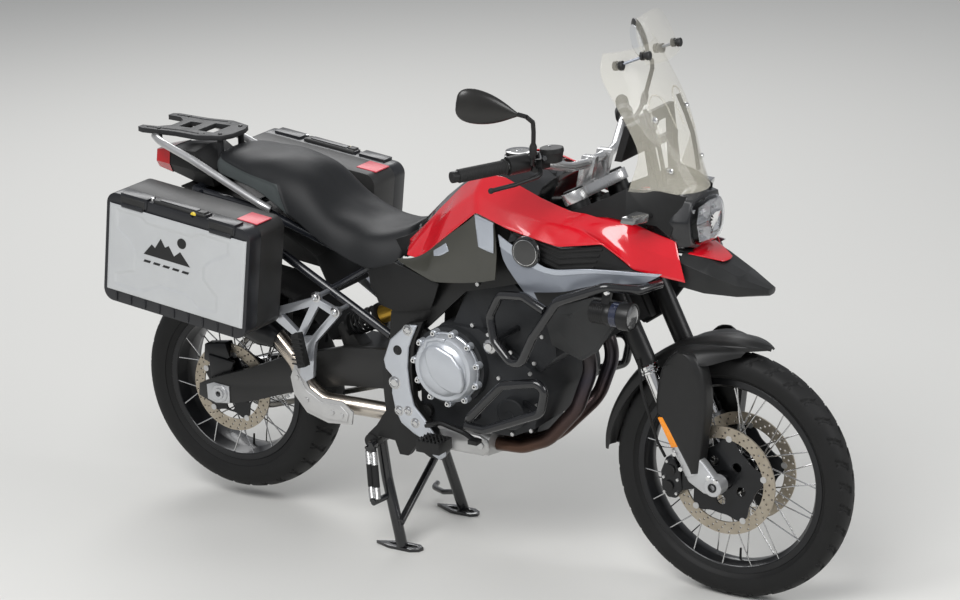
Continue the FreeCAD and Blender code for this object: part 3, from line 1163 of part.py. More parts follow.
def crash_bars():
    """Two guard loops on each side, each of two bars: round the shroud and round the engine."""
    upper = fuse([tube([V(1462, -150, 902), V(1440, -226, 902), V(1366, -276, 914), V(1236, -300, 862),
                        V(1154, -290, 749), V(1112, -282, 668), V(1074, -270, 656), V(1010, -252, 704),
                        V(992, -242, 770), V(1030, -250, 836), V(1075, -263, 844)], GUARD_R, 36),
                  tube([V(1075, -263, 844), V(1120, -276, 852), V(1196, -296, 830)], GUARD_R, 36)])
    stay = rod(V(1010, -252, 704), V(1010, -126, 704), 9)
    front_stay = rod(V(1462, -152, 902), V(1400, -60, 930), 10)
    lower = fuse([tube([V(905, -178, 452), V(905, -240, 452), V(1026, -244, 578), V(1160, -236, 606),
                        V(1140, -236, 514), V(1052, -238, 476)], GUARD_R, 30),
                  tube([V(1052, -238, 476), V(964, -240, 438), V(905, -240, 440)], GUARD_R, 30)])
    foot = rod(V(1140, -236, 516), V(1040, -148, 500), 9)
    return both(Part.makeCompound(fuse([upper, stay, front_stay]).Solids + fuse([lower, foot]).Solids))


def aux_lamps():
    """Two cylindrical lamps on brackets from the upper guard loops."""
    lamp = fuse([rod(V(1322, -262, 838), V(1420, -262, 838), 30),
                 rod(V(1408, -262, 838), V(1440, -262, 838), 37),
                 plate([(1350, 862), (1374, 862), (1384, 916), (1362, 916)], -272, -258)])
    return both(lamp)


def shock():
    """Rear shock absorber: coil spring between cups, gold reservoir and silver head."""
    a = V(388, -35, 586)
    b = V(664, -35, 712)
    along = V(b - a)

    def length_of(start, end, r):
        return rod(a + along * start, a + along * end, r)

    # share of the length where each part starts and ends, and its radius
    body = fuse([rod(a + V(0, -18, 0), a + V(0, 18, 0), 12)] + [length_of(*part) for part in (
        (0.00, 0.50, 9), (0.05, 0.09, 36), (0.10, 0.42, 12), (0.40, 0.44, 36), (0.40, 0.78, 26),
        (0.78, 0.86, 30), (0.84, 1.00, 16))])
    coils = [ring(a + along * (0.10 + 0.065 * i), a + along * (0.125 + 0.065 * i), 34, 11)
             for i in range(COILS)]
    return fuse([body] + coils)


def rear_caliper():
    x = -36
    z = REAR_Z + 104
    body = plate([(x - 46, z - 26), (x - 40, z + 24), (x + 34, z + 36), (x + 48, z - 6), (x + 10, z - 40)],
                 -REAR_DISC_Y - 24, -REAR_DISC_Y + 14)
    slot = rod(V(0, -REAR_DISC_Y - DISC_T / 2 - PAD_GAP, REAR_Z),
               V(0, -REAR_DISC_Y + DISC_T / 2 + PAD_GAP, REAR_Z),
               REAR_DISC_R + 6)
    bracket = plate([(-50, REAR_Z + 18), (10, REAR_Z + 30), (30, z - 14), (-60, z - 4)], -ARM_Y, -ARM_Y + 14)
    return body.fuse(bracket).cut(slot)


def centre_stand():
    """Two legs on one pivot, a slanting tie bar, foot loops, the tread bar and twin springs."""
    leg = tube([V(STAND_PIVOT_X, -STAND_TOP_Y, STAND_PIVOT_Z), V(STAND_PIVOT_X + 18, -STAND_TOP_Y - 2, 200),
                V(STAND_FOOT_X - 6, -STAND_FOOT_Y, STAND_TUBE_R / 2)], STAND_TUBE_R, 200)
    hub = rod(V(STAND_PIVOT_X, -STAND_HUB_OUT_Y, STAND_PIVOT_Z),
              V(STAND_PIVOT_X, -STAND_HUB_IN_Y, STAND_PIVOT_Z), 20)
    bore = rod(V(STAND_PIVOT_X, -STAND_HUB_OUT_Y - 60, STAND_PIVOT_Z), V(STAND_PIVOT_X, 200, STAND_PIVOT_Z),
               STAND_PIN_R + RUNNING_GAP)
    # The foot: a flat loop on the floor, pointed behind and rounded ahead, and its opening
    outer = [(546, -162), (596, -178), (668, -178), (690, -164), (694, -146), (676, -132), (610, -132)]
    inner = [(582, -159), (602, -165), (660, -165), (677, -157), (679, -149), (670, -144), (612, -144)]
    foot = polygon([V(x, y, 0) for x, y in outer]).extrude(UP * STAND_FOOT_T).cut(
        polygon([V(x, y, -1) for x, y in inner]).extrude(UP * (STAND_FOOT_T + 2)))
    right = fuse([leg, hub, foot])
    tie = rod(V(632, -STAND_FOOT_Y, 80), V(584, STAND_FOOT_Y - 16, 214), 11)
    tread = tube([V(622, STAND_FOOT_Y, 58), V(560, STAND_FOOT_Y + 12, 42), V(508, STAND_FOOT_Y + 40, 38),
                  V(500, STAND_FOOT_Y + 74, 38)], 8, 30)
    springs = fuse([rod(V(572 + d, -212, 312), V(580 + d, -212, 150), 8) for d in (-9, 9)])
    eyes = fuse([rod(V(572, -222, 316), V(572, -198, 316), 15), rod(V(580, -222, 150), V(588, -150, 150), 9)])
    base = box(-2000, 2000, -300, 300, -200, 0)
    whole = fuse([right, mirrored(right), tie, tread, springs, eyes])
    return whole.cut(base).cut(bore)


def side_stand():
    """Folded side stand on the left, pointing back."""
    leg = tube([V(SIDE_PIVOT_X, 206, SIDE_PIVOT_Z), V(600, 208, 304), V(440, 210, 286)], 11, 60)
    foot = box(412, 444, 190, 236, 266, 298)
    hub = rod(V(SIDE_PIVOT_X, PLATE_OUT_Y + SEAT_GAP, SIDE_PIVOT_Z), V(SIDE_PIVOT_X, 222, SIDE_PIVOT_Z), 20)
    bore = rod(V(SIDE_PIVOT_X, 180, SIDE_PIVOT_Z), V(SIDE_PIVOT_X, 230, SIDE_PIVOT_Z),
               SIDE_PIN_R + RUNNING_GAP)
    return fuse([leg, foot, hub]).cut(bore)


def fuel_cap():
    """Hinged filler cap: a disc with a knuckle that turns on the tank's pin."""
    base = V(CAP_X, 0, NECK_TOP_Z + SEAT_GAP)
    disc = rod(base, base + UP * CAP_T, CAP_R)
    arm = box(CAP_X + CAP_R - 5, CAP_HINGE_X, 3 - CAP_LUG_Y, CAP_LUG_Y - 3, NECK_TOP_Z + 3, NECK_TOP_Z + 9)
    a = V(CAP_HINGE_X, 3 - CAP_LUG_Y, CAP_HINGE_Z)
    b = V(CAP_HINGE_X, CAP_LUG_Y - 3, CAP_HINGE_Z)
    return fuse([disc, arm, rod(a, b, KNUCKLE_R - 1)]).cut(rod(a - ACROSS * 9, b + ACROSS * 9,
                                                               HINGE_PIN_R + RUNNING_GAP))


NODES = {
    "yokes": yokes, "fork_legs": fork_legs, "front_fender": front_fender, "front_calipers": calipers,
    "handlebar": handlebar, "bar_controls": bar_controls, "mirrors": mirrors, "brake_hoses": brake_hoses,
    "front_tyre": front_tyre, "front_wire_wheel": front_rim, "front_discs": front_discs,
    "rear_tyre": rear_tyre, "rear_wire_wheel": rear_rim, "rear_disc": rear_disc,
    "rear_sprocket": rear_sprocket, "swinging_arm": swinging_arm, "drive_chain": chain,
    "engine": engine, "clutch_cover": clutch_cover, "pivot_plates": frame_plates,
    "main_frame": main_frame, "rear_subframe": rear_subframe, "exhaust_headers": exhaust_headers,
    "silencer": silencer, "radiator": radiator, "fuel_tank": tank, "red_panels": red_panels,
    "knee_panels": knee_panels, "side_covers": side_covers, "side_shrouds": side_shrouds,
    "intakes": intakes, "beak": beak,
    "headlamp": headlamp, "screen": screen, "screen_extension": screen_extension, "cockpit": cockpit,
    "seat": seat, "luggage_rack": luggage_rack, "grab_rails": grab_rails, "tail_lamp": tail_lamp,
    "rear_guards": rear_guards, "indicators": indicators, "case_shells": case_shells,
    "right_case_lid": case_lid, "left_case_lid": left_case_lid,
    "peg_hangers": peg_hangers, "foot_controls": foot_controls, "crash_bars": crash_bars,
    "aux_lamps": aux_lamps, "rear_shock": shock, "rear_caliper": rear_caliper,
    "centre_stand": centre_stand, "side_stand": side_stand, "fuel_cap": fuel_cap,
}

# A piece that is notched to seat on its neighbours in the same body
SEATED = {
    "beak": ["headlamp"], "headlamp": ["red_panels", "main_frame"],
    "cockpit": ["screen", "headlamp", "red_panels"], "screen_extension": ["screen"],
    "indicators": ["cockpit", "headlamp", "rear_guards"],
    "handlebar": ["yokes"], "bar_controls": ["handlebar"], "mirrors": ["bar_controls"],
    "front_fender": ["fork_legs"], "front_calipers": ["fork_legs"], "brake_hoses": ["front_calipers"],
    "main_frame": ["pivot_plates"], "engine": ["main_frame"], "pivot_plates": ["engine", "clutch_cover"],
    "exhaust_headers": ["engine"], "radiator": ["main_frame", "side_shrouds", "engine"],
    "crash_bars": ["engine", "side_shrouds"], "aux_lamps": ["crash_bars"], "fuel_tank": ["main_frame"],
    "side_covers": ["main_frame", "rear_subframe", "seat", "knee_panels"],
    "rear_subframe": ["main_frame", "case_shells"], "rear_guards": ["rear_subframe", "swinging_arm"],
    "grab_rails": ["rear_subframe"], "tail_lamp": ["rear_subframe"],
    "luggage_rack": ["seat", "grab_rails", "tail_lamp"],
    "rear_shock": ["main_frame"], "swinging_arm": ["rear_shock"], "rear_caliper": ["swinging_arm"],
    "foot_controls": ["pivot_plates"],
}

os.makedirs("parts", exist_ok=True)
shapes = {name: make() for name, make in NODES.items()}
for name, shape in shapes.items():
    for other in SEATED.get(name, []):
        shape = shape.cut(shapes[other])
    kept = Part.makeCompound([solid for solid in shape.Solids if solid.Volume > SLIVER])
    kept.translated(V(-MIDDLE_X, 0, 0)).exportStep(f"parts/{name}.step")
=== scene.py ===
import json
import math

import bpy
from mathutils import Matrix, Vector

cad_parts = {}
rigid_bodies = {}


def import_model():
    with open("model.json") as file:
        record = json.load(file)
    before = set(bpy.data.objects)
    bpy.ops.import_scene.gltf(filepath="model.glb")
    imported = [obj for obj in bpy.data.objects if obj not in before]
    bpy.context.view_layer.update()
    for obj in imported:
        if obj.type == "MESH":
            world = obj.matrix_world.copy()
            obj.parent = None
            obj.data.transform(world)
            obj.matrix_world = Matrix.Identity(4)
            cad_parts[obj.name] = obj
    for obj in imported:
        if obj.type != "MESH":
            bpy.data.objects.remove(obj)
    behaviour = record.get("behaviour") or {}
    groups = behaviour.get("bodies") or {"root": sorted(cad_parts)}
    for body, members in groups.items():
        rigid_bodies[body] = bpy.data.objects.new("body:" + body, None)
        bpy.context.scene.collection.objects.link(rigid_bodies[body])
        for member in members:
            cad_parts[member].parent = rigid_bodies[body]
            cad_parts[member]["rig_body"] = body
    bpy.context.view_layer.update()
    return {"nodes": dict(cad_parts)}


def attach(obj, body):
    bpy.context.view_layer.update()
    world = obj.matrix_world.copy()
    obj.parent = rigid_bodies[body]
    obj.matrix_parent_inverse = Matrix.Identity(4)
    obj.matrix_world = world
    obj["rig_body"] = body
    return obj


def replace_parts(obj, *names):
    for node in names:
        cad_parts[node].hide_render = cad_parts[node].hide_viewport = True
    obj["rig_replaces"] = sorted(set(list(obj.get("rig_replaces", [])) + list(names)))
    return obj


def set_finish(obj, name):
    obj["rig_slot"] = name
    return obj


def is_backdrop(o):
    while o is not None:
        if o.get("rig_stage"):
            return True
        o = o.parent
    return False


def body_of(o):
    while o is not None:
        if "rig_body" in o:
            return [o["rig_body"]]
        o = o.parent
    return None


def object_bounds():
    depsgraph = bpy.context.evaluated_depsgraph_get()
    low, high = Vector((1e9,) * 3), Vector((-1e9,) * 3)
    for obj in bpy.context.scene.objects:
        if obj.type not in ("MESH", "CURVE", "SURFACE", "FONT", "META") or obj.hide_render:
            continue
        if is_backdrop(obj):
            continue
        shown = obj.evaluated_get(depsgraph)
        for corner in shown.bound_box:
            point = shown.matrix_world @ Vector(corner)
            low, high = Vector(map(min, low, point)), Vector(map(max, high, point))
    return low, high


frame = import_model()
nodes = frame["nodes"]

# The tyres are black road rubber, moulded with slanting water grooves. Every place below is in
# millimetres, forward from the rear axle, to the rider's left and up from the floor.
MIDDLE_X = 798.35
FRONT_AXLE = (1603.0, 347.7)
REAR_AXLE = (0.0, 354.0)


def at(x, y, z):
    return Vector(((x - MIDDLE_X) / 1000, y / 1000, z / 1000))


class Tap:
    """The end of a shader wire, on which sums are written as on a number."""

    def __init__(self, finish, socket):
        self.finish = finish
        self.socket = socket

    def sum(self, operation, *terms):
        return self.finish.node("ShaderNodeMath", {"operation": operation}, dict(enumerate(terms)))

    def __add__(self, other):
        return self.sum("ADD", self, other)

    def __sub__(self, other):
        return self.sum("SUBTRACT", self, other)

    def __mul__(self, other):
        return self.sum("MULTIPLY", self, other)

    def __gt__(self, other):
        return self.sum("GREATER_THAN", self, other)

    def __lt__(self, other):
        return self.sum("LESS_THAN", self, other)


class Finish:
    """One finish of the machine: a material and the nodes that colour and roughen it."""

    def __init__(self, name, slot, **sockets):
        self.slot = slot
        self.material = bpy.data.materials.new(name)
        self.material.use_nodes = True
        self.tree = self.material.node_tree
        self.shader = self.tree.nodes["Principled BSDF"]
        self.point = self.node("ShaderNodeTexCoord", out="Object")
        self.set(**sockets)

    def plug(self, inputs, values):
        """A wire or a plain value for each named input."""
        for key, value in values.items():
            if isinstance(value, Tap):
                self.tree.links.new(value.socket, inputs[key])
            else:
                inputs[key].default_value = value

    def node(self, kind, settings=None, sockets=None, out=0):
        made = self.tree.nodes.new(kind)
        for key, value in (settings or {}).items():
            setattr(made, key, value)
        self.plug(made.inputs, sockets or {})
        return Tap(self, made.outputs[out])

    def set(self, **sockets):
        """Base_Color=..., Roughness=... go to the shader's own sockets."""
        self.plug(self.shader.inputs, {key.replace("_", " "): value for key, value in sockets.items()})

    def noise(self, scale, detail, stretch=(1, 1, 1)):
        place = self.node("ShaderNodeMapping", None, {"Vector": self.point, "Scale": stretch})
        return self.node("ShaderNodeTexNoise", None, {"Vector": place, "Scale": scale, "Detail": detail})

    def mix(self, share, a, b):
        """Colour a where share is 0, colour b where it is 1."""
        return self.node("ShaderNodeMix", {"data_type": "RGBA"}, {"Factor": share, "A": a, "B": b}, "Result")

    def axes(self):
        parts = self.tree.nodes.new("ShaderNodeSeparateXYZ")
        self.tree.links.new(self.point.socket, parts.inputs[0])
        return [Tap(self, parts.outputs[i]) for i in range(3)]

    def bump(self, height, depth):
        """A relief of that many millimetres."""
        self.set(Normal=self.node("ShaderNodeBump", None, {"Height": height, "Strength": 1.0,
                                                           "Distance": depth / 1000}))


def shade(value, tint=(1.0, 1.0, 1.0)):
    return (value * tint[0], value * tint[1], value * tint[2], 1.0)


def mottled(name, slot, dark, light, rough, spread, grain, relief, **sockets):
    """A finish whose colour and gloss wander a little over a fine grain."""
    made = Finish(name, slot, **sockets)
    cloud = made.noise(14.0, 4.0)
    made.set(Base_Color=made.mix(cloud, dark, light), Roughness=cloud * spread + (rough - spread / 2))
    made.bump(made.noise(grain, 2.0), relief)
    return made


rubber = mottled("tyre_rubber", "tyre_rubber", shade(0.006), shade(0.014), 0.60, 0.16, 900.0, 0.05,
                 Specular_IOR_Level=0.28)


def stood(name, mesh, slot, body):
    """A mesh set up as a piece, in its slot and riding on its body."""
    made = bpy.data.objects.new(name, mesh)
    bpy.context.scene.collection.objects.link(made)
    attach(made, body)
    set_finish(made, slot)
    return made


def piece(name, points, faces, finish, body="chassis", smooth=True):
    """A mesh whose points are in metres, in its finish and riding on its body."""
    mesh = bpy.data.meshes.new(name)
    mesh.from_pydata([tuple(p) for p in points], [], faces)
    mesh.polygons.foreach_set("use_smooth", [smooth] * len(mesh.polygons))
    mesh.materials.append(finish.material)
    return stood(name, mesh, finish.slot, body)


def finished(made, *kinds):
    """Modifiers put on in order and then made part of the mesh. A kind is its type and its settings."""
    for kind, settings in kinds:
        added = made.modifiers.new(kind.lower(), kind)
        for key, value in settings.items():
            setattr(added, key, value)
    bpy.context.view_layer.update()
    shaped = bpy.data.meshes.new_from_object(made.evaluated_get(bpy.context.evaluated_depsgraph_get()))
    made.modifiers.clear()
    made.data = shaped
    return made


def sharp(made, degrees=32.0):
    """Edges steeper than this stay crisp under smooth shading."""
    made.data.set_sharp_from_angle(angle=math.radians(degrees))
    return made


def ring_faces(rows, columns, closed_rows=True, closed_columns=False):
    faces = []
    for i in range(rows if closed_rows else rows - 1):
        for j in range(columns if closed_columns else columns - 1):
            a = i * columns + j
            b = i * columns + (j + 1) % columns
            c = ((i + 1) % rows) * columns + (j + 1) % columns
            d = ((i + 1) % rows) * columns + j
            faces.append((a, b, c, d))
    return faces


def on_circle(axle, r, turn):
    """The (x, z) place at a radius and an angle about a cross axle."""
    return (axle[0] + r * math.cos(turn), axle[1] + r * math.sin(turn))


def turned(name, profile, axle, finish, body, turns=96, looped=True, press=None):
    """A round piece about a cross axle, from (y, radius) points. press(angle, y, radius) sinks a point."""
    points = []
    for i in range(turns):
        angle = 2 * math.pi * i / turns
        for y, r in profile:
            x, z = on_circle(axle, r - (press(angle, y, r) if press else 0.0), angle)
            points.append(at(x, y, z))
    return sharp(piece(name, points, ring_faces(turns, len(profile), True, looped), finish, body))


CROWN_LEAN = math.radians(62.0)
CROWN_STEPS = 13
WIDE_GROOVE = 5.0
NARROW_GROOVE = 3.4


def tyre(name, end, axle, radius, width, seat, rim_width, lugs):
    """The carcass with its round crown, a bead line on each wall and slashed grooves."""
    half = width / 2
    depth = radius - seat
    bead = rim_width / 2 - 5.6
    wall = [(-bead, 0.0), (-bead - 3, 0.10), (-0.90 * half, 0.26), (-0.93 * half, 0.27),
            (-0.985 * half, 0.42), (-half, 0.52), (-0.985 * half, 0.62), (-0.95 * half, 0.71)]
    crown = []
    for i in range(-CROWN_STEPS, CROWN_STEPS + 1):
        lean = CROWN_LEAN * i / CROWN_STEPS
        rise = 0.215 * (math.cos(lean) - math.cos(CROWN_LEAN)) / (1 - math.cos(CROWN_LEAN))
        crown.append((0.895 * half * math.sin(lean) / math.sin(CROWN_LEAN), 0.785 + rise))
    shares = wall + crown + [(-y, share) for y, share in reversed(wall)]

    def groove(angle, y, r):
        across = abs(y) / half
        if across < 0.10 or across > 0.88 or r < seat + 0.66 * depth:
            return 0.0
        cell = (angle * lugs / (2 * math.pi) + (0.5 if y > 0 else 0.0)) % 1.0
        slant = 0.18 + 0.62 * across ** 1.4
        near = abs(cell - slant)
        second = abs(cell - (0.66 - 0.28 * across)) if across > 0.42 else 1.0
        return WIDE_GROOVE if near < 0.13 * (1.2 - across) else (NARROW_GROOVE if second < 0.06 else 0.0)

    profile = [(y, seat + share * depth) for y, share in shares]
    made = turned(name, profile, axle, rubber, end + "_wheel", lugs * 20, True, groove)
    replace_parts(made, end + "_tyre")


tyre("front_road_tyre", "front", FRONT_AXLE, 347.7, 90.0, 266.3, 68.0, 34)
tyre("rear_road_tyre", "rear", REAR_AXLE, 321.0, 150.0, 218.3, 122.0, 32)

# The wheels are black aluminium rims with bright steel spokes, which cross from the hub's flanges to
# the rim's outer edges so that the tyres seal without tubes.
satin_black = mottled("black_anodised_rim", "black_metal", shade(0.008), shade(0.016, (0.9, 0.95, 1.1)),
                      0.30, 0.10, 500.0, 0.02, Metallic=0.4, Coat_Weight=0.15)
bright_steel = mottled("spoke_steel", "steel", shade(0.55), shade(0.72), 0.22, 0.10, 300.0, 0.01,
                       Metallic=1.0)


def rods(name, lines, radius, finish, body="chassis", sides=8, tip=1.0):
    """Straight round rods, each a pair of points in millimetres."""
    points = []
    faces = []
    for a, b in lines:
        a = at(*a)
        b = at(*b)
        along = (b - a).normalized()
        side = along.orthogonal().normalized()
        up = along.cross(side)
        start = len(points)
        for end, size in ((a, 1.0), (b, tip)):
            for i in range(sides):
                turn = 2 * math.pi * i / sides
                points.append(end + (side * math.cos(turn) + up * math.sin(turn)) * radius * size / 1000)
        for i in range(sides):
            j = (i + 1) % sides
            faces.append((start + i, start + j, start + sides + j, start + sides + i))
        faces.append(tuple(start + i for i in reversed(range(sides))))
        faces.append(tuple(start + sides + i for i in range(sides)))
    return sharp(piece(name, points, faces, finish, body), 40)


def both_sides(half):
    """A profile of (y, radius) points from one side, carried on over the middle to the other."""
    return half + [(-y, r) for y, r in reversed(half)]


SPOKES = 36
SPOKE_LEAN = math.radians(58.0)
VALVE_TURN = -1.5


def wheel(end, axle, seat, width, hub_half, flange, bore):
    """A rim with a dropped well, a flanged hub on its bore, crossed spokes, their nipples and a valve."""
    body = end + "_wheel"
    half = width / 2
    lip = seat + 10
    well = seat - 15
    rim = both_sides([(-half, lip - 1), (-half + 1, lip), (-half + 4, lip), (-half + 5, lip - 2),
                      (-half + 5, seat), (-0.55 * half, seat - 1), (-0.32 * half, well)])
    rim += both_sides([(half, seat - 7), (half - 2, seat - 9), (half - 9, seat - 10), (0.42 * half, well - 4),
                       (0.36 * half, well - 5)])
    hub = both_sides([(-hub_half, bore), (-hub_half, bore + 11), (-hub_half + 3, bore + 14),
                      (-0.64 * hub_half, bore + 14), (-0.62 * hub_half, flange - 1),
                      (-0.60 * hub_half, flange), (-0.52 * hub_half, flange), (-0.50 * hub_half, flange - 1),
                      (-0.44 * hub_half, bore + 15), (-0.30 * hub_half, bore + 11)])
    spokes = []
    nipples = []
    for i in range(SPOKES):
        side = 1 if i % 2 else -1
        lean = SPOKE_LEAN * (1 if (i // 2) % 2 else -1)
        turn = 2 * math.pi * (i + 0.5) / SPOKES
        x, z = on_circle(axle, seat - 7, turn)
        a = Vector((x, side * (half - 5), z))
        x, z = on_circle(axle, flange - 5, turn + lean)
        b = Vector((x, side * 0.56 * hub_half, z))
        spokes.append((a, b))
        nipples.append((b, b + (a - b).normalized() * 16))
    for part in (
        turned(end + "_rim", rim, axle, satin_black, body, 128),
        turned(end + "_hub", hub, axle, satin_black, body, 64),
        rods(end + "_spokes", spokes, 2.0, bright_steel, body),
        rods(end + "_spoke_nipples", nipples, 3.2, bright_steel, body, 6),
    ):
        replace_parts(part, end + "_wire_wheel")
    root_x, root_z = on_circle(axle, well - 5, VALVE_TURN)
    tip_x, tip_z = on_circle(axle, well - 34, VALVE_TURN)
    rods(end + "_valve", [((root_x, 0, root_z), (tip_x, 6, tip_z))], 3.6, rubber, body, 10, 0.8)


wheel("front", FRONT_AXLE, 266.0, 68.0, 56.0, 50.0, 12.8)
wheel("rear", REAR_AXLE, 218.0, 122.0, 66.0, 62.0, 14.3)

# Brake discs: floating steel rings, drilled in staggered rows and browned by use, on black carriers
# that hold them by silver buttons.
disc_steel = Finish("worn_disc_steel", "steel", Metallic=0.85)
disc_cloud = disc_steel.noise(30.0, 5.0)
disc_steel.set(Base_Color=disc_steel.mix(disc_cloud, (0.34, 0.29, 0.22, 1), (0.52, 0.47, 0.39, 1)),
               Roughness=disc_cloud * 0.2 + 0.28)
disc_steel.bump(disc_steel.noise(700.0, 1.0), 0.03)
button_silver = mottled("button_silver", "silver_cast", shade(0.5), shade(0.66), 0.3, 0.1, 300.0, 0.01,
                        Metallic=0.9)


def carved(made, cutter):
    """The piece with the cutter's shape taken out of it."""
    finished(made, ("BOOLEAN", {"object": cutter, "operation": "DIFFERENCE", "solver": "EXACT"}))
    bpy.data.objects.remove(cutter)
    return sharp(made)


def crosswise(places, y0, y1):
    """Lines straight across the machine at (x, z) places, for bolts and holes."""
    return [((x, y0, z), (x, y1, z)) for x, z in places]


BAND = 34.0
ARMS = 5
ARM_TURN = 0.18
CARRIER_HALF = 2.2


def brake_disc(name, axle, y, radius, body, node, hub_r, inward):
    """A ring drilled in three rows, and a carrier with windows between its arms, buttons and a collar."""
    inner = radius - BAND
    plate = turned(name, [(y - 2.5, radius), (y + 2.5, radius), (y + 2.5, inner), (y - 2.5, inner)], axle,
                   disc_steel, body, 120)
    holes = [on_circle(axle, radius - 6 - row * (BAND - 12) / 2, 2 * math.pi * (i + 0.33 * row) / 30)
             for row in range(3) for i in range(30)]
    carved(plate, rods("drill", crosswise(holes, y - 6, y + 6), 3.3, disc_steel, body))
    outline = []
    for i in range(140):
        turn = 2 * math.pi * i / 140
        wave = 0.5 + 0.5 * math.cos(ARMS * turn - 0.9)
        outline.append((turn, inner - 22 + 26 * wave ** 2.2))
    points = []
    for outer, half in ((True, -CARRIER_HALF), (True, CARRIER_HALF), (False, CARRIER_HALF),
                        (False, -CARRIER_HALF)):
        for turn, r in outline:
            x, z = on_circle(axle, r if outer else hub_r, turn)
            points.append(at(x, y + half, z))
    carrier = sharp(piece(name + "_carrier", points, ring_faces(4, len(outline), True, True), satin_black,
                          body))
    windows = [on_circle(axle, hub_r + 30, 2 * math.pi * (i + 0.5) / ARMS + ARM_TURN) for i in range(ARMS)]
    carved(carrier, rods("window", crosswise(windows, y - 9, y + 9), 14.0, satin_black, body, 16))
    buttons = [on_circle(axle, inner + 2, 2 * math.pi * i / ARMS + ARM_TURN) for i in range(ARMS)]
    collar = [(y, hub_r + 11), (y + inward * 15, hub_r + 11), (y + inward * 15, hub_r), (y, hub_r)]
    for part in (
        plate,
        carrier,
        rods(name + "_buttons", crosswise(buttons, y - 4, y + 4), 9.0, button_silver, body, 20),
        turned(name + "_collar", collar, axle, satin_black, body, 40),
    ):
        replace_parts(part, node)


brake_disc("front_disc_right", FRONT_AXLE, -62.0, 152.5, "front_wheel", "front_discs", 27.5, 1)
brake_disc("front_disc_left", FRONT_AXLE, 62.0, 152.5, "front_wheel", "front_discs", 27.5, -1)
brake_disc("rear_disc_ring", REAR_AXLE, -72.0, 132.5, "rear_wheel", "rear_disc", 29.0, 1)

# The fork stands upside down: black outer tubes held by the yokes, bright inner tubes, and cast feet
# that carry the calipers and clamp a hollow axle.
powder_black = mottled("black_powder_coat", "black_metal", shade(0.007), shade(0.014), 0.36, 0.12, 700.0,
                       0.04, Specular_IOR_Level=0.35)
cast_silver = mottled("cast_aluminium", "silver_cast", shade(0.50), shade(0.68, (0.97, 0.99, 1.02)), 0.40,
                      0.14, 650.0, 0.06, Metallic=0.75)
chrome = mottled("polished_chrome", "steel", shade(0.70), shade(0.80), 0.08, 0.04, 200.0, 0.0, Metallic=1.0)
RAKE = math.tan(math.radians(26.0))


def leg_at(y, z, ahead=0.0):
    return (1548.0 - (z - 347.7) * RAKE + ahead, y, z)


def spindle(name, a, b, profile, finish, body="chassis", turns=40):
    """A round piece along any line: (millimetres from a, radius) points, closed at both ends."""
    a = at(*a)
    b = at(*b)
    along = (b - a).normalized()
    side = along.orthogonal().normalized()
    up = along.cross(side)
    points = []
    for far, r in profile:
        for i in range(turns):
            angle = 2 * math.pi * i / turns
            points.append(a + along * far / 1000 + (side * math.cos(angle) + up * math.sin(angle)) * r / 1000)
    faces = [tuple(reversed(f)) for f in ring_faces(len(profile), turns, False, True)]
    faces += [tuple(reversed(range(turns))), tuple(range(len(points) - turns, len(points)))]
    return sharp(piece(name, points, faces, finish, body))


def prism_faces(count):
    """The faces of a plate whose outline is listed for one side and then for the other."""
    faces = [tuple(range(count)), tuple(reversed(range(count, 2 * count)))]
    return faces + [(i, count + i, count + (i + 1) % count, (i + 1) % count) for i in range(count)]


def rounding(edge, segments, degrees):
    """The modifier that rounds edges steeper than an angle, by a width in millimetres."""
    return ("BEVEL", {"width": edge / 1000, "segments": segments, "limit_method": "ANGLE",
                      "angle_limit": math.radians(degrees)})


def slab(name, outline, y0, y1, finish, body="chassis", edge=2.0, rows=2):
    """A plate from an outline of (x, z) points between two planes, with rounded edges."""
    points = [at(x, y, z) for y in (y0, y1) for x, z in outline]
    made = piece(name, points, prism_faces(len(outline)), finish, body)
    finished(made, rounding(edge, rows, 30))
    return sharp(made, 40)


def twin(made):
    """The same piece mirrored to the left-hand side."""
    mesh = made.data.copy()
    mesh.transform(Matrix.Scale(-1, 4, (0, 1, 0)))
    mesh.flip_normals()
    other = stood(made.name.replace("right", "left"), mesh, made["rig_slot"], body_of(made)[0])
    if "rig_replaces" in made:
        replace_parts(other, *made["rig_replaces"])
    return other


def fitted(node, *parts):
    """Right-hand pieces in place of a packed one, each with its twin on the left."""
    for part in parts:
        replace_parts(part, node)
        twin(part)


fitted(
    "fork_legs",
    spindle("right_fork_tube", leg_at(-105, 645), leg_at(-105, 1112),
            [(0, 25), (2, 27), (436, 27), (438, 30), (512, 30), (519, 27), (519.5, 20)], powder_black,
            "steering"),
    spindle("right_fork_clamp", leg_at(-105, 640), leg_at(-105, 700),
            [(-8, 25), (-6, 28.6), (-1, 29), (1, 27.4), (5, 27.4), (7, 29), (14, 29), (16, 27)], chrome,
            "steering"),
    spindle("right_fork_slider", leg_at(-105, 395), leg_at(-105, 650), [(0, 21.5), (276, 21.5)], chrome,
            "steering"),
    spindle("right_fork_seat", leg_at(-105, 380), leg_at(-105, 480),
            [(-14, 24), (-8, 26), (92, 26), (98, 24)], cast_silver, "steering"),
    slab("right_fork_foot", [(1629, 340), (1611, 321), (1573, 324), (1527, 350), (1503, 396), (1475, 432),
                             (1491, 440), (1519, 414), (1541, 436), (1573, 410), (1603, 376), (1625, 364)],
         -125, -95, cast_silver, "steering", 5, 3),
    turned("right_axle_clamp", [(-131, 13), (-131, 24), (-129, 26), (-100, 27), (-91, 27), (-91, 13)],
           FRONT_AXLE, cast_silver, "steering", 48),
)
hollow = both_sides([(-134, 8.5), (-134, 11.5), (-131, 12.5)])
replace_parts(turned("hollow_axle", hollow, FRONT_AXLE, satin_black, "steering", 40), "fork_legs")
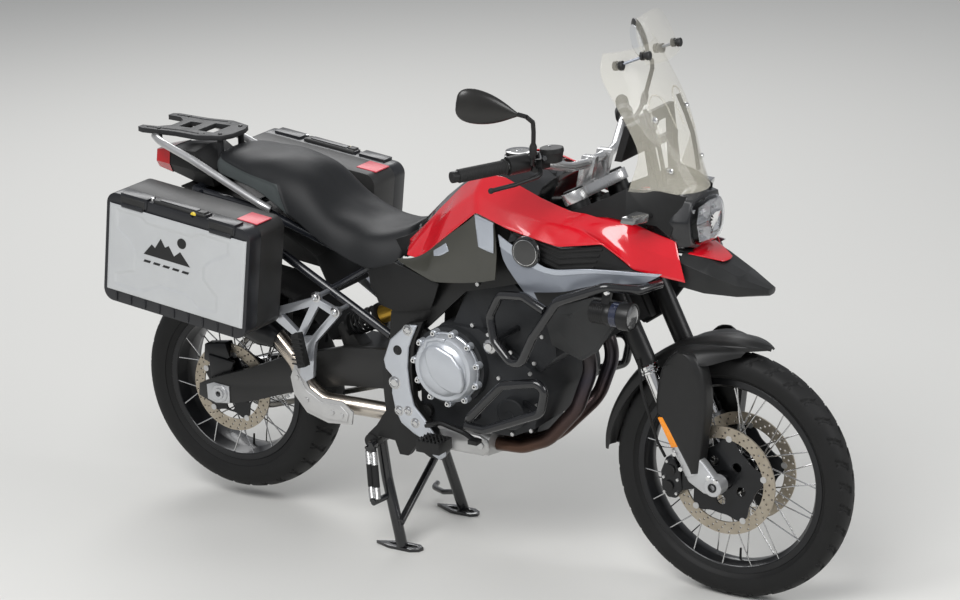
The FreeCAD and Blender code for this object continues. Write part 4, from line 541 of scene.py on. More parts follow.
twin(rods("right_foot_bolts", crosswise(((1590, 372), (1612, 366), (1490, 424), (1508, 384)), -132, -124),
          6.5, chrome, "steering", 6))

# The front guard is one black moulding: a crowned blade with a pointed nose and a long tail, a skirt
# to each side and a cover down each leg. An orange reflector stands behind each cover on its mount.
guard_black = mottled("moulded_black_plastic", "black_plastic", shade(0.010), shade(0.018), 0.42, 0.10,
                      1300.0, 0.06, Specular_IOR_Level=0.35)
orange_lens = mottled("orange_reflector", "gold", (0.80, 0.22, 0.0, 1), (0.95, 0.34, 0.01, 1), 0.22, 0.06,
                      260.0, 0.10, Coat_Weight=0.6)


def panel(name, rows, thick, finish, columns=None, along=None, body="chassis", levels=2, inward=(0, 1, 0)):
    """A thin moulded skin over rows of points in millimetres, rounded between its creases.

    columns and along give the strength of a crease down a column of points or along a row, by its number."""
    wide = len(rows[0])
    made = piece(name, [at(*p) for row in rows for p in row], ring_faces(len(rows), wide, False, False),
                 finish, body)
    marks = made.data.attributes.new("crease_edge", "FLOAT", "EDGE")
    for edge in made.data.edges:
        a, b = edge.vertices
        if a // wide == b // wide:
            marks.data[edge.index].value = (along or {}).get(a // wide, 0.0)
        else:
            marks.data[edge.index].value = (columns or {}).get(a % wide, 0.0)
    finished(made, ("SUBSURF", {"levels": levels, "boundary_smooth": "PRESERVE_CORNERS"}))
    outward = sum((p.normal * p.area for p in made.data.polygons), Vector())
    if outward.dot(Vector(inward)) > 0:
        made.data.flip_normals()
    finished(made, ("SOLIDIFY", {"thickness": thick / 1000, "offset": -1.0}),
             rounding(min(thick, 3.0) * 0.3, 1, 50))
    return sharp(made, 45)


def guard_row(angle, half, crest, drop):
    """Across the blade at an angle ahead of straight up: edge, shoulder, ridge, and the same again."""
    turn = math.radians(angle)
    edge = [(-half, crest - drop), (-half * 0.98, crest - drop * 0.45), (-half * 0.74, crest - 8),
            (-half * 0.22, crest)]
    return [(FRONT_AXLE[0] + r * math.sin(turn), y, FRONT_AXLE[1] + r * math.cos(turn))
            for y, r in both_sides(edge)]


DOWN = (0, 0, -1)
blade_stations = ((17.0, 10, 389, 7), (15.0, 22, 391, 12), (10.0, 46, 393, 22), (3, 58, 393, 32),
                  (-8, 63, 391, 40), (-22, 64, 389, 42), (-38, 64, 388, 42), (-54, 63, 388, 40),
                  (-70, 60, 388, 36), (-81, 52, 388, 28), (-88, 30, 388, 16))
blade = panel("front_guard_blade", [guard_row(*station) for station in blade_stations], 3.0, guard_black,
              {1: 0.4, 2: 0.5, 3: 0.5, 4: 0.5, 5: 0.5, 6: 0.4}, None, "steering", 2, DOWN)
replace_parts(blade, "front_fender")
cover_rows = []
for z, rear, front in ((712, 1494, 1536), (700, 1478, 1556), (664, 1450, 1570), (598, 1435, 1583),
                       (540, 1431, 1579), (470, 1480, 1570), (420, 1512, 1563), (379, 1537, 1559)):
    cover_rows.append([(rear, -118, z), (rear + 3, -130, z), (rear + (front - rear) * 0.3, -138, z),
                       (front - 14, -137, z), (front, -126, z), (front + 2, -84, z)])
skirt_rows = [[(1462, -52, 699), (1466, -104, 696), (1462, -134, 668)],
              [(1500, -52, 711), (1500, -112, 708), (1496, -137, 684)],
              [(1545, -52, 720), (1540, -112, 716), (1540, -137, 690)],
              [(1590, -52, 724), (1580, -98, 716), (1572, -122, 676)],
              [(1626, -50, 722), (1620, -76, 712), (1610, -90, 690)],
              [(1662, -42, 716), (1658, -50, 708), (1650, -56, 698)]]
fitted("front_fender",
       panel("right_leg_cover", cover_rows, 3.0, guard_black, {1: 0.5, 3: 0.5, 4: 0.4}, {2: 0.3, 4: 0.4},
             "steering"),
       panel("right_guard_skirt", skirt_rows, 3.0, guard_black, {1: 0.4}, None, "steering", 2, DOWN))
twin(slab("right_orange_reflector", [(1440, 520), (1460, 525), (1501, 446), (1481, 441)], -132, -122,
          orange_lens, "steering"))
twin(slab("right_reflector_mount", [(1462, 500), (1500, 500), (1520, 440), (1490, 452)], -122, -114,
          powder_black, "steering", 1.5))

# The front wheel has two four-piston calipers behind the fork: black castings in bolted halves, with a
# bridge over the disc and ears to the foot of the fork.
fitted(
    "front_calipers",
    slab("right_caliper_outer", [(1434, 306), (1431, 356), (1447, 398), (1471, 402), (1491, 360), (1495, 312),
                                 (1477, 284), (1451, 284)], -100, -69, satin_black, "steering", 5, 3),
    slab("right_caliper_inner", [(1436, 308), (1433, 356), (1447, 394), (1469, 398), (1486, 360), (1490, 314),
                                 (1475, 288), (1453, 288)], -55, -40, satin_black, "steering", 4, 2),
    slab("right_caliper_bridge", [(1432, 318), (1430, 352), (1440, 352), (1442, 318)], -72, -52, satin_black,
         "steering", 2),
    slab("right_caliper_ears", [(1491, 308), (1543, 324), (1551, 354), (1533, 378), (1495, 388)], -95.5, -84,
         satin_black, "steering", 3),
)
twin(rods("right_caliper_caps", crosswise(((1456, 318), (1462, 366)), -106, -98), 15, powder_black,
          "steering", 28, 0.86))
twin(rods("right_caliper_bolts", crosswise(((1442, 342), (1452, 388), (1484, 340), (1480, 300), (1444, 300)),
                                           -105, -97), 4.5, button_silver, "steering", 6))


# The frame is black powder-coated steel: pressed spars over the engine, a bolted tube rear frame and a
# cast swinging arm on both sides of the wheel.
def surface_of(name, source, finish):
    """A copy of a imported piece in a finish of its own."""
    mesh = nodes[source].data.copy()
    mesh.materials.clear()
    mesh.materials.append(finish.material)
    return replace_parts(stood(name, mesh, finish.slot, body_of(nodes[source])[0]), source)


def inside(box, point):
    """Whether a point in metres is in a box of millimetres, whose y counts the same on both sides."""
    x = point.x * 1000 + MIDDLE_X
    y = abs(point.y) * 1000
    z = point.z * 1000
    return box[0] <= x <= box[1] and box[2] <= y <= box[3] and box[4] <= z <= box[5]


def dressed(node, finish, edge, *regions):
    """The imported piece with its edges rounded, and the faces in each region in a finish of their own.

    A region is (name, finish, where). where is a box or a test on a point, and a finish of None leaves the
    faces to a piece of their own. The other faces make the piece named after the node."""
    whole = surface_of(node + "_body", node, finish)
    finished(whole, ("WELD", {"merge_threshold": 0.00003}),
             ("DECIMATE", {"decimate_type": "DISSOLVE", "angle_limit": math.radians(0.6)}))
    left = [True] * len(whole.data.polygons)
    parts = []
    for name, own_finish, where in regions:
        mine = [free and (where(p.center) if callable(where) else inside(where, p.center))
                for free, p in zip(left, whole.data.polygons)]
        left = [a and not b for a, b in zip(left, mine)]
        if own_finish:
            parts.append((surface_of(name, node, own_finish), mine))
    kept = whole.data.copy()
    for part, mine in parts + [(whole, left)]:
        faces = [tuple(p.vertices) for p in kept.polygons if mine[p.index]]
        used = sorted({v for face in faces for v in face})
        place = {v: i for i, v in enumerate(used)}
        mesh = bpy.data.meshes.new(part.name)
        mesh.from_pydata([kept.vertices[v].co for v in used], [],
                         [[place[v] for v in face] for face in faces])
        mesh.materials.append(part.data.materials[0])
        part.data = mesh
        finished(part, rounding(edge, 2, 38))
        part.data.polygons.foreach_set("use_smooth", [True] * len(part.data.polygons))
        sharp(part, 34)


arm_black = mottled("satin_arm_paint", "black_metal", shade(0.020), shade(0.028, (1.0, 0.98, 0.94)), 0.34,
                    0.12, 800.0, 0.03, Specular_IOR_Level=0.35)
steel_blue_black = mottled("gloss_frame_paint", "black_metal", shade(0.008, (0.9, 1.0, 1.3)),
                           shade(0.016, (0.9, 1.0, 1.3)), 0.24, 0.10, 600.0, 0.02, Coat_Weight=0.4)
dressed("main_frame", powder_black, 5.0)
dressed("rear_subframe", steel_blue_black, 1.0)
dressed("swinging_arm", arm_black, 7.0)
for name, side in (("right", -1), ("left", 1)):
    block = [(131, 8.6), (131, 27), (139, 27), (141, 25), (141, 17), (145, 16), (145, 8.6)]
    turned(name + "_axle_block", [(side * y, r) for y, r in block], REAR_AXLE, cast_silver, "chassis", 40)
    slab(name + "_axle_plate", [(-44, 330), (-46, 374), (-20, 384), (34, 380), (34, 328), (-16, 322)],
         side * 133, side * 136, cast_silver, "chassis", 1.0)

# The rear shock stands behind the frame, with a gold reservoir under a silver head.
gold_anodised = mottled("gold_anodised_body", "gold", (0.42, 0.24, 0.03, 1), (0.56, 0.35, 0.06, 1), 0.30,
                        0.10, 400.0, 0.02, Metallic=0.9)
shock_foot = Vector((388, -35, 586))
shock_top = Vector((664, -35, 712))
for name, profile, finish in (
    ("shock_rod", [(0, 12), (0.02, 9), (0.45, 9), (0.46, 14)], bright_steel),
    ("shock_cup", [(0.05, 30), (0.06, 36), (0.09, 36), (0.10, 28)], powder_black),
    ("shock_top_cup", [(0.395, 30), (0.40, 35), (0.43, 36), (0.44, 30)], powder_black),
    ("shock_reservoir", [(0.44, 22), (0.45, 26), (0.74, 26), (0.76, 25), (0.77, 20)], gold_anodised),
    ("shock_head", [(0.76, 24), (0.77, 29), (0.80, 30.5), (0.85, 30), (0.87, 24), (0.88, 16), (1.0, 15)],
     cast_silver),
):
    lengths = [(share * (shock_top - shock_foot).length, r) for share, r in profile]
    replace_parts(spindle(name, shock_foot, shock_top, lengths, finish), "rear_shock")
COIL_STEPS = 240
COIL_TURNS = 5.2
along = (shock_top - shock_foot).normalized()
side = along.orthogonal().normalized()
up = along.cross(side)
coil_points = []
for i in range(COIL_STEPS + 1):
    turn = 2 * math.pi * COIL_TURNS * i / COIL_STEPS
    radial = side * math.cos(turn) + up * math.sin(turn)
    middle = shock_foot + along * (34 + 88.0 * i / COIL_STEPS) + radial * 29.5
    for j in range(8):
        lean = 2 * math.pi * j / 8
        coil_points.append(at(*(middle + (radial * math.cos(lean) + along * math.sin(lean)) * 4.6)))
coil_faces = ring_faces(COIL_STEPS + 1, 8, False, True)
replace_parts(piece("shock_spring", coil_points, coil_faces, powder_black), "rear_shock")

# The engine is a parallel twin in black, with ribbed cases and a bright clutch cover held by eleven
# bolts, whose dome has a raised teardrop.
engine_black = mottled("engine_paint", "black_metal", shade(0.016, (0.95, 1.0, 1.08)),
                       shade(0.030, (0.95, 1.0, 1.08)), 0.46, 0.16, 380.0, 0.10, Specular_IOR_Level=0.3)
cover_silver = mottled("clutch_cover_paint", "silver_cast", shade(0.52, (0.95, 0.99, 1.05)),
                       shade(0.64, (0.95, 0.99, 1.05)), 0.36, 0.12, 520.0, 0.05, Metallic=0.55)
dressed("engine", engine_black, 6.0)
CLUTCH = (816.0, 578.0)
COVER_BOLTS = 11
cover_rim = [(-176.4, 60), (-176.4, 98), (-178, 100), (-186, 100), (-188, 97.5), (-204, 92), (-209, 88),
             (-210.5, 80), (-211, 60)]
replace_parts(turned("clutch_cover_rim", cover_rim, CLUTCH, cover_silver, "chassis", 128), "clutch_cover")
cover_dome = [(-206, 78), (-210, 77), (-213, 74), (-219, 66), (-223, 58), (-226, 44), (-227, 24), (-227, 0.2)]
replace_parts(turned("clutch_cover_dome", cover_dome, CLUTCH, cover_silver, "chassis", 96, False),
            "clutch_cover")
for name, outline, y_out, y_in, edge in (
    ("clutch_teardrop", [(-40, 66), (-8, 72), (40, 52), (70, 16), (76, -28), (66, -56), (40, -60), (0, -48),
                         (-30, -22), (-46, 16), (-48, 48)], -228, -208, 9.0),
    ("clutch_upper_lip", [(-62, 52), (-54, 80), (-20, 92), (14, 92), (8, 80), (-14, 82), (-44, 74),
                          (-52, 52)], -214, -206, 4.0),
):
    relief = slab(name, [(CLUTCH[0] + x, CLUTCH[1] + z) for x, z in outline], y_out, y_in, cover_silver,
                  "chassis", edge, 3)
    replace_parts(relief, "clutch_cover")
lugs = [on_circle(CLUTCH, 102, 2 * math.pi * i / COVER_BOLTS + 0.2) for i in range(COVER_BOLTS)]
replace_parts(rods("clutch_cover_lugs", crosswise(lugs, -176.3, -196), 10.5, cover_silver, "chassis", 24, 0.92),
            "clutch_cover")
rods("clutch_cover_bolts", crosswise(lugs, -196, -203), 6.4, chrome, sides=20)
rods("clutch_bolt_sockets", crosswise(lugs, -202.6, -203.3), 3.4, powder_black, sides=6)
spindle("water_pump_cover", (1010, -172, 470), (1010, -184, 470),
        [(0, 44), (3, 44), (6, 41), (8, 30), (9, 12), (12, 10)], engine_black, turns=36)
spindle("oil_filler_plug", (962, -150, 664), (962, -190, 664),
        [(0, 22), (26, 22), (28, 26), (38, 26), (40, 22)], engine_black, turns=36)
spindle("frame_bolt", (962, -152, 664), (962, -206, 664),
        [(0, 12), (30, 12), (34, 20), (46, 20), (48, 17), (50, 12), (54, 11)], bright_steel, turns=36)
case_bolts = ((1000, 404), (1060, 424), (1080, 500), (930, 400), (960, 560), (1060, 588), (930, 680),
              (1000, 640), (1074, 620), (1100, 700), (1010, 800), (900, 820), (880, 700), (724, 410),
              (724, 610))
rods("case_bolts", crosswise(case_bolts, -150, -155), 6, button_silver, sides=6)


# Two steel headers, browned and blued by heat, run down into a box under the engine; a stainless pipe
# leaves it for the can behind the right-hand case. Silver shields are bolted over box and pipe.
header_steel = Finish("heat_browned_steel", "header_steel", Metallic=0.85)
header_cloud = header_steel.noise(9.0, 4.0)
upward = header_steel.axes()[2]
header_warm = header_steel.node("ShaderNodeValToRGB", None,
                                {"Fac": (upward * 1.9 - 0.55) + header_cloud * 0.3})
browning = ((0.0, (0.20, 0.10, 0.055, 1)), (0.35, (0.085, 0.052, 0.042, 1)), (0.7, (0.055, 0.050, 0.062, 1)),
            (1.0, (0.10, 0.085, 0.07, 1)))
stops = header_warm.socket.node.color_ramp.elements
while len(stops) < len(browning):
    stops.new(1.0)
for stop, (place, colour) in zip(stops, browning):
    stop.position = place
    stop.color = colour
header_steel.set(Base_Color=header_warm, Roughness=header_cloud * 0.2 + 0.24)
header_steel.bump(header_steel.noise(260.0, 2.0), 0.04)
stainless = Finish("warm_stainless", "silencer_steel", Metallic=1.0)
stainless_cloud = stainless.noise(7.0, 3.0)
stainless.set(Base_Color=stainless.mix(stainless_cloud, (0.44, 0.35, 0.26, 1), (0.72, 0.69, 0.64, 1)),
              Roughness=stainless_cloud * 0.16 + 0.20)
stainless.bump(stainless.noise(420.0, 1.0, (1, 1, 6)), 0.02)
shield_silver = mottled("heat_shield_paint", "silver_cast", shade(0.48), shade(0.62, (1.0, 0.99, 0.97)), 0.34,
                        0.16, 420.0, 0.05, Metallic=0.6)
dressed("exhaust_headers", header_steel, 0.8)
dressed("silencer", stainless, 1.5,
        ("silencer_box", shield_silver, (752, 924, 0, 170, 300, 392)),
        ("rear_heat_shield", shield_silver, (290, 510, 188, 200, 340, 520)),
        ("silencer_can", satin_black, (-200, 262, 100, 240, 480, 780)))
shield_rib = [(486, 366), (492, 390), (466, 412), (402, 412), (350, 440), (318, 500), (308, 470), (316, 426),
              (354, 382), (420, 364)]
slab("rear_shield_rib", shield_rib, -199.5, -195.5, shield_silver, "chassis", 2.5, 3)
rods("heat_shield_bolts", crosswise(((438, 388), (352, 412), (470, 384), (322, 474)), -196, -203), 8,
     button_silver, "chassis", 20, 0.8)
slab("front_heat_shield", [(756, 340), (758, 378), (800, 392), (905, 388), (930, 376), (934, 352), (916, 330),
                           (800, 330)], -172, -158, shield_silver, "chassis", 6, 3)
rods("front_shield_bolt", crosswise(((910, 362),), -170, -178), 11, button_silver, "chassis", 28, 0.85)

# The radiator is a finned aluminium core between plastic tanks, with grey-black cowls that lead air to
# it on both sides.
cowl_grey = mottled("cowl_plastic", "black_plastic", shade(0.022, (0.97, 1.0, 1.02)),
                    shade(0.034, (0.97, 1.0, 1.02)), 0.40, 0.12, 1100.0, 0.04, Specular_IOR_Level=0.35)
fins = Finish("radiator_fins", "black_metal", Metallic=0.5, Roughness=0.5)
sideways = fins.axes()[1]
# The stripes are painted shade in the gaps between the fins; the same wave also gives the fins their relief.
fin_relief_and_gap_shade = fins.node("ShaderNodeMath", {"operation": "SINE"}, {0: sideways * 2100.0})
fins.set(Base_Color=fins.mix(fin_relief_and_gap_shade * 0.5 + 0.5, shade(0.006), shade(0.05)))
fins.bump(fin_relief_and_gap_shade, 1.2)
black_plastic = mottled("grained_black_plastic", "black_plastic", shade(0.008), shade(0.016), 0.50, 0.12,
                        1400.0, 0.06, Specular_IOR_Level=0.3)
dressed("radiator", black_plastic, 2.0,
        ("radiator_cowls", cowl_grey, (1090, 1420, 179, 260, 600, 890)),
        ("radiator_core", fins, (1100, 1290, 0, 150.5, 660, 900)))

# The tank is hidden under its covers, apart from a gloss black painted hump in front of the seat. The
# filler there has a hinged cap with a satin rim and a bright keyway.
gloss_black = mottled("gloss_black_paint", "gloss_black", shade(0.006), shade(0.010), 0.14, 0.05, 150.0, 0.01,
                      Coat_Weight=1.0, Coat_Roughness=0.03)
dressed("fuel_tank", gloss_black, 8.0)
dressed("fuel_cap", gloss_black, 2.0)
spindle("fuel_cap_rim", (950, 0, 1160), (950, 0, 1166), [(0, 30), (3.6, 31), (4.2, 30), (4.4, 22)],
        powder_black, "fuel_cap", 64)
spindle("fuel_cap_keyway", (950, 0, 1163), (950, 0, 1166), [(0, 9), (1.6, 9), (2.0, 8)], chrome, "fuel_cap",
        32)

# The coloured panels are injection moulded in pairs: gloss red from the seat's nose to the beak, satin
# grey for the knees, and silver shrouds, each with a paler strip along its top as a painted highlight.
# They clip to the tank. The black sheet between the seat's nose and each red panel is painted shade.
gloss_red = mottled("gloss_red_paint", "red_gloss", (0.56, 0.003, 0.010, 1), (0.68, 0.006, 0.018, 1), 0.20,
                    0.06, 200.0, 0.01, Coat_Weight=1.0, Coat_Roughness=0.03)
olive_satin = mottled("olive_grey_satin", "olive_grey", (0.038, 0.038, 0.030, 1), (0.054, 0.053, 0.044, 1),
                      0.38, 0.10, 900.0, 0.03, Coat_Weight=0.25)
silver_satin = mottled("silver_grey_paint", "silver_grey", (0.22, 0.24, 0.28, 1), (0.29, 0.31, 0.35, 1), 0.30,
                       0.08, 800.0, 0.02, Metallic=0.5)
pale_silver = mottled("pale_silver_facet", "silver_grey", (0.40, 0.43, 0.48, 1), (0.50, 0.53, 0.58, 1), 0.26,
                      0.08, 700.0, 0.02, Metallic=0.45)
red_rows = [[(662, -116, 906), (670, -128, 900), (673, -141, 892), (684, -167, 878)],
            [(716, -118, 956), (712, -134, 940), (706, -146, 922), (700, -170, 876)],
            [(770, -121, 1013), (762, -138, 984), (752, -152, 951), (722, -174, 875)],
            [(812, -125, 1052), (802, -144, 1020), (790, -163, 984), (758, -184, 896)],
            [(850, -129, 1091), (840, -152, 1058), (826, -174, 1021), (790, -198, 925)],
            [(888, -134, 1114), (880, -162, 1086), (872, -184, 1056), (862, -213, 982)],
            [(925, -139, 1133), (925, -168, 1116), (925, -192, 1092), (946, -228, 1049)],
            [(989, -139, 1129), (996, -174, 1100), (1004, -206, 1064), (1049, -238, 1020)],
            [(1050, -146, 1109), (1056, -178, 1084), (1066, -207, 1055), (1127, -238, 1003)],
            [(1109, -151, 1089), (1118, -180, 1070), (1130, -208, 1046), (1205, -238, 991)],
            [(1156, -152, 1076), (1168, -180, 1060), (1185, -204, 1043), (1270, -232, 1002)],
            [(1198, -151, 1065), (1216, -176, 1054), (1240, -198, 1040), (1335, -224, 1013)],
            [(1280, -151, 1064), (1296, -172, 1050), (1310, -188, 1026), (1372, -208, 982)],
            [(1363, -151, 1063), (1371, -166, 1046), (1380, -178, 1010), (1404, -190, 943)],
            [(1424, -126, 1032), (1432, -140, 1008), (1440, -148, 982), (1450, -152, 922)],
            [(1480, -95, 1005), (1490, -104, 984), (1500, -112, 960), (1516, -112, 901)]]
fitted("red_panels", panel("right_red_panel", red_rows, 4.0, gloss_red, {2: 0.9},
                           dict.fromkeys((2, 6, 7, 9, 11, 13), 0.55), levels=3))
# A black sheet in the gap between the seat's nose and the red panel is painted shade.
twin(slab("right_seat_gap_rubber", [(612, 898), (652, 914), (706, 946), (716, 906), (690, 862), (640, 850)],
          -112, -106, black_plastic))
knee_rows = [[(650, -164, 862), (652, -165, 860), (656, -165.5, 857), (659, -166, 854), (662, -166, 852)],
             [(722, -172, 872.5), (724, -179, 864), (727, -184, 853), (729, -187, 844), (730, -186, 836)],
             [(790, -196, 922.5), (790, -204, 902), (790, -208, 872), (790, -206, 846), (790, -200, 823)],
             [(870, -211.4, 986.3), (874, -217, 956), (880, -219, 908), (883, -216, 866), (885, -210, 836)],
             [(920, -219, 1020), (922, -224, 980), (926, -226, 930), (928, -222, 880), (930, -214, 846)],
             [(944, -225.6, 1044), (947, -228, 1002), (950, -228, 946), (953, -224, 892), (955, -218, 852)],
             [(975, -228.6, 1037), (978, -231, 996), (982, -231, 942), (982, -227, 896), (980, -221, 860)],
             [(1006, -231.8, 1029.5), (1009, -233, 990), (1012, -232, 940), (1006, -229, 900),
              (1000, -224, 866)]]
fitted("knee_panels", panel("right_knee_panel", knee_rows, 3.5, olive_satin, {2: 0.25}, {2: 0.4, 5: 0.9},
                            levels=3))
facet_rows = [[(944, -229.5, 1043), (949, -232, 1000), (954, -231.8, 955)],
              [(976, -232.4, 1036), (979, -234.6, 996), (980, -234.8, 948)],
              [(1005, -235.6, 1029), (1006, -236.6, 990), (1004, -236.0, 944)]]
twin(panel("right_silver_facet", facet_rows, 1.6, pale_silver))
tab_rows = [[(792, -201, 914), (796, -206, 900)], [(812, -206, 926), (822, -212, 905)],
            [(838, -209, 944), (850, -215, 924)]]
twin(panel("right_silver_tab", tab_rows, 1.6, pale_silver))
shroud_rows = [[(1022, -238, 1000), (1028, -240, 968), (1034, -240, 930), (1066, -240, 890),
                (1096, -238, 852)],
               [(1052, -243, 985), (1062, -243.5, 952), (1072, -242, 915), (1098, -241, 872),
                (1125, -238, 832)],
               [(1085, -246, 970), (1098, -246, 936), (1110, -244, 900), (1132, -242, 856),
                (1154, -238, 812)],
               [(1132, -247, 946), (1146, -246.4, 920), (1158, -244.5, 896), (1180, -241, 862),
                (1202, -236, 831)],
               [(1180, -246, 925), (1192, -245.4, 910), (1206, -244, 892), (1228, -240, 870),
                (1250, -234, 850)],
               [(1240, -242, 934), (1250, -241, 920), (1258, -239.5, 906), (1272, -236, 886),
                (1285, -231, 865)],
               [(1300, -236, 944), (1305, -235.4, 932), (1310, -234, 920), (1315, -231.5, 900),
                (1320, -228, 880)],
               [(1392, -210, 941), (1390, -211, 931), (1387, -212, 922), (1379, -213.5, 906),
                (1370, -214, 890)],
               [(1484, -180, 938), (1474, -183, 931), (1464, -186, 924), (1442, -193, 912),
                (1420, -200, 900)]]
fitted("side_shrouds", panel("right_silver_shroud", shroud_rows, 4.0, silver_satin, {1: 0.75, 3: 0.5},
                             {1: 0.4, 4: 0.5}, levels=3))
edge_rows = [[(x, y - 1.8, z) for x, y, z in row[3:]] for row in shroud_rows[2:]]
twin(panel("right_shroud_edge", edge_rows, 2.0, black_plastic, {1: 0.4}))
# A paler sheet over the shroud's upper part is a painted highlight, where the light falls on its top.
painted_highlight_rows = [[(x, y - 1.2, z) for x, y, z in row[:2]] for row in shroud_rows]
twin(panel("right_shroud_highlight", painted_highlight_rows, 1.2, pale_silver))
dressed("intakes", black_plastic, 1.2)
dressed("side_covers", black_plastic, 1.5)
for name, profile, finish in (
    ("right_badge_surround", [(0, 44), (5, 43), (9, 40), (10, 37), (8, 36), (8, 0.3)], gloss_black),
    ("right_badge_ring", [(7.6, 36), (10.4, 35.6), (10.6, 34.6), (8.4, 34), (8.2, 0.3)], chrome),
    ("right_bare_badge", [(8, 34), (9.2, 33), (9.8, 24), (10.2, 0.3)], gloss_black),
):
    twin(spindle(name, (1112, -244, 966), (1112, -262, 966), profile, finish, "chassis", 72))

# The beak is one black moulding with two swept blades under the lamp. A gloss red centre is clipped
# between them.
beak_black = mottled("beak_plastic", "black_plastic", shade(0.012, (0.98, 1.0, 1.0)),
                     shade(0.024, (0.98, 1.0, 1.0)), 0.36, 0.12, 1500.0, 0.05, Specular_IOR_Level=0.35)
dressed("beak", beak_black, 5.0)


def spanned(half):
    """A row of (x, y, z) points from the right-hand edge, carried on over the middle to the left."""
    return half + [(x, -y, z) for x, y, z in reversed(half)]


panel("red_centre_below_lamp", [spanned([(1504, -74, 970), (1506, -28, 976)]),
                                spanned([(1540, -58, 962), (1546, -24, 961)]),
                                spanned([(1584, -26, 947), (1588, -9, 946)])], 3.0, gloss_red,
      {1: 0.4, 2: 0.4}, inward=DOWN)

# The headlamp sits in a gloss black mask: a bulged clear lens over stepped silver reflector cells, with
# a dark band round it. Small clear indicators stand beside it.
lens_glass = Finish("clear_lamp_glass", "lamp_glass", Base_Color=(0.97, 0.98, 1.0, 1), Roughness=0.02,
                    Transmission_Weight=1.0, IOR=1.25)
reflector_silver = mottled("lamp_reflector", "steel", shade(0.40), shade(0.56), 0.24, 0.08, 60.0, 0.02,
                           Metallic=0.8)
mask_black = mottled("lamp_mask_plastic", "gloss_black", shade(0.010, (0.95, 1.0, 1.1)),
                     shade(0.018, (0.95, 1.0, 1.1)), 0.26, 0.08, 700.0, 0.03, Coat_Weight=0.3)
dressed("headlamp", mask_black, 4.0, ("lens_block", None, (1517, 1545, 0, 80, 984, 1106)))
LAMP_MIDDLE = 1045


def closed(half):
    """A ring of (y, z) points about the middle of the machine, from the points of its left half."""
    return half + [(-y, z) for y, z in reversed(half[1:-1])]


lamp_outline = closed([(0, 1107), (40, 1106), (66, 1098), (79, 1074), (78, 1048), (72, 1018), (60, 994),
                       (40, 985), (0, 984)])
lens_rings = ((1514, 0, 1.02), (1521, 0, 1.03), (1532, 0.4, 0.99), (1540, 1.0, 0.93), (1546, 1.2, 0.78),
              (1549, 1.4, 0.45))
lens_points = []
for x, bulge, scale in lens_rings:
    for y, z in lamp_outline:
        lens_points.append(at(x, y * scale * (1 - 0.10 * bulge),
                              LAMP_MIDDLE + (z - LAMP_MIDDLE) * scale * (1 - 0.08 * bulge)))
across = len(lamp_outline)
lens_faces = [tuple(reversed(f)) for f in ring_faces(len(lens_rings), across, False, True)]
lens_faces.append(tuple(range(len(lens_points) - across, len(lens_points))))
lens = piece("headlamp_lens", lens_points, lens_faces, lens_glass)
finished(lens, ("SOLIDIFY", {"thickness": 0.0025, "offset": -1.0}), ("SUBSURF", {"levels": 1}))
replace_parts(lens, "headlamp")
for level, half in (("upper", [(2, 1100), (60, 1094), (73, 1050), (2, 1046)]),
                    ("lower", [(2, 1044), (73, 1048), (58, 1000), (2, 992)])):
    for side, flip in (("left", 1), ("right", -1)):
        corners = [(flip * y, z) for y, z in half]
        mid_y = sum(y for y, z in corners) / 4
        mid_z = sum(z for y, z in corners) / 4
        points = [at(x, mid_y + (y - mid_y) * share, mid_z + (z - mid_z) * share)
                  for x, share in ((1531, 1.0), (1527, 0.86), (1520, 0.42)) for y, z in corners]
        faces = ring_faces(3, 4, False, True) + [(8, 9, 10, 11)]
        cell = piece("reflector_%s_%s" % (level, side), points, faces, reflector_silver, smooth=False)
        finished(cell, ("SOLIDIFY", {"thickness": 0.0015, "offset": 0.0}))
        spindle("bulb_%s_%s" % (level, side), (1519, mid_y, mid_z), (1540, mid_y, mid_z),
                [(0, 5), (4, 5), (6, 3.4), (7, 0.4)], button_silver, turns=24)
clear_lens = mottled("clear_indicator_lens", "lamp_glass", shade(0.14), shade(0.26), 0.10, 0.05, 300.0, 0.20,
                     Coat_Weight=1.0, Metallic=0.6)
dressed("indicators", black_plastic, 4.0,
        ("front_indicator_lenses", clear_lens, (1380, 1446, 170, 232, 1060, 1100)),
        ("rear_indicator_lenses", clear_lens, (-296, -250, 96, 154, 800, 830)))

# The screen is clear polycarbonate with a beige cast, which grows denser towards the bottom as painted
# shade of the parts behind it. Four chrome screws hold it to black rails, and a raised arch is moulded
# round the upper two. A small deflector rides above it on two clamps.
screen_clear = Finish("screen_polycarbonate", "clear", Roughness=0.03, IOR=1.15, Transmission_Weight=0.0)
screen_haze = screen_clear.noise(5.0, 2.0)
upward = screen_clear.axes()[2]
# The alpha rises towards the bottom: the denser beige there is painted shade of the parts behind the screen.
screen_clear.set(Base_Color=screen_clear.mix(screen_haze, (0.62, 0.58, 0.46, 1), (0.80, 0.78, 0.70, 1)),
                 Alpha=(upward - 1.12) * -0.55 + 0.31 + screen_haze * 0.06, Coat_Weight=0.6)
REARWARD = (-1, 0, 0)
screen_rows = []
for z, x_mid, x_edge, y_edge in ((1128, 1526, 1362, 145), (1185, 1498, 1384, 147), (1242, 1470, 1404, 148),
                                 (1284, 1450, 1391, 157), (1325, 1430, 1374, 165), (1382, 1401, 1340, 168),
                                 (1440, 1372, 1300, 168), (1474, 1355, 1293, 156), (1498, 1342, 1288, 132)):
    deep = x_mid - x_edge
    half = [(x_edge, -y_edge, z), (x_edge + deep * 0.34, -y_edge * 0.85, z),
            (x_edge + deep * 0.62, -y_edge * 0.66, z), (x_mid - deep * 0.20, -y_edge * 0.48, z),
            (x_mid - deep * 0.08, -y_edge * 0.30, z)]
    row = spanned(half)
    row.insert(len(half), (x_mid, 0, z))
    screen_rows.append(row)
screen = panel("clear_screen", screen_rows, 3.6, screen_clear, {2: 0.35, 8: 0.35}, {2: 0.2}, inward=REARWARD)
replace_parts(screen, "screen")
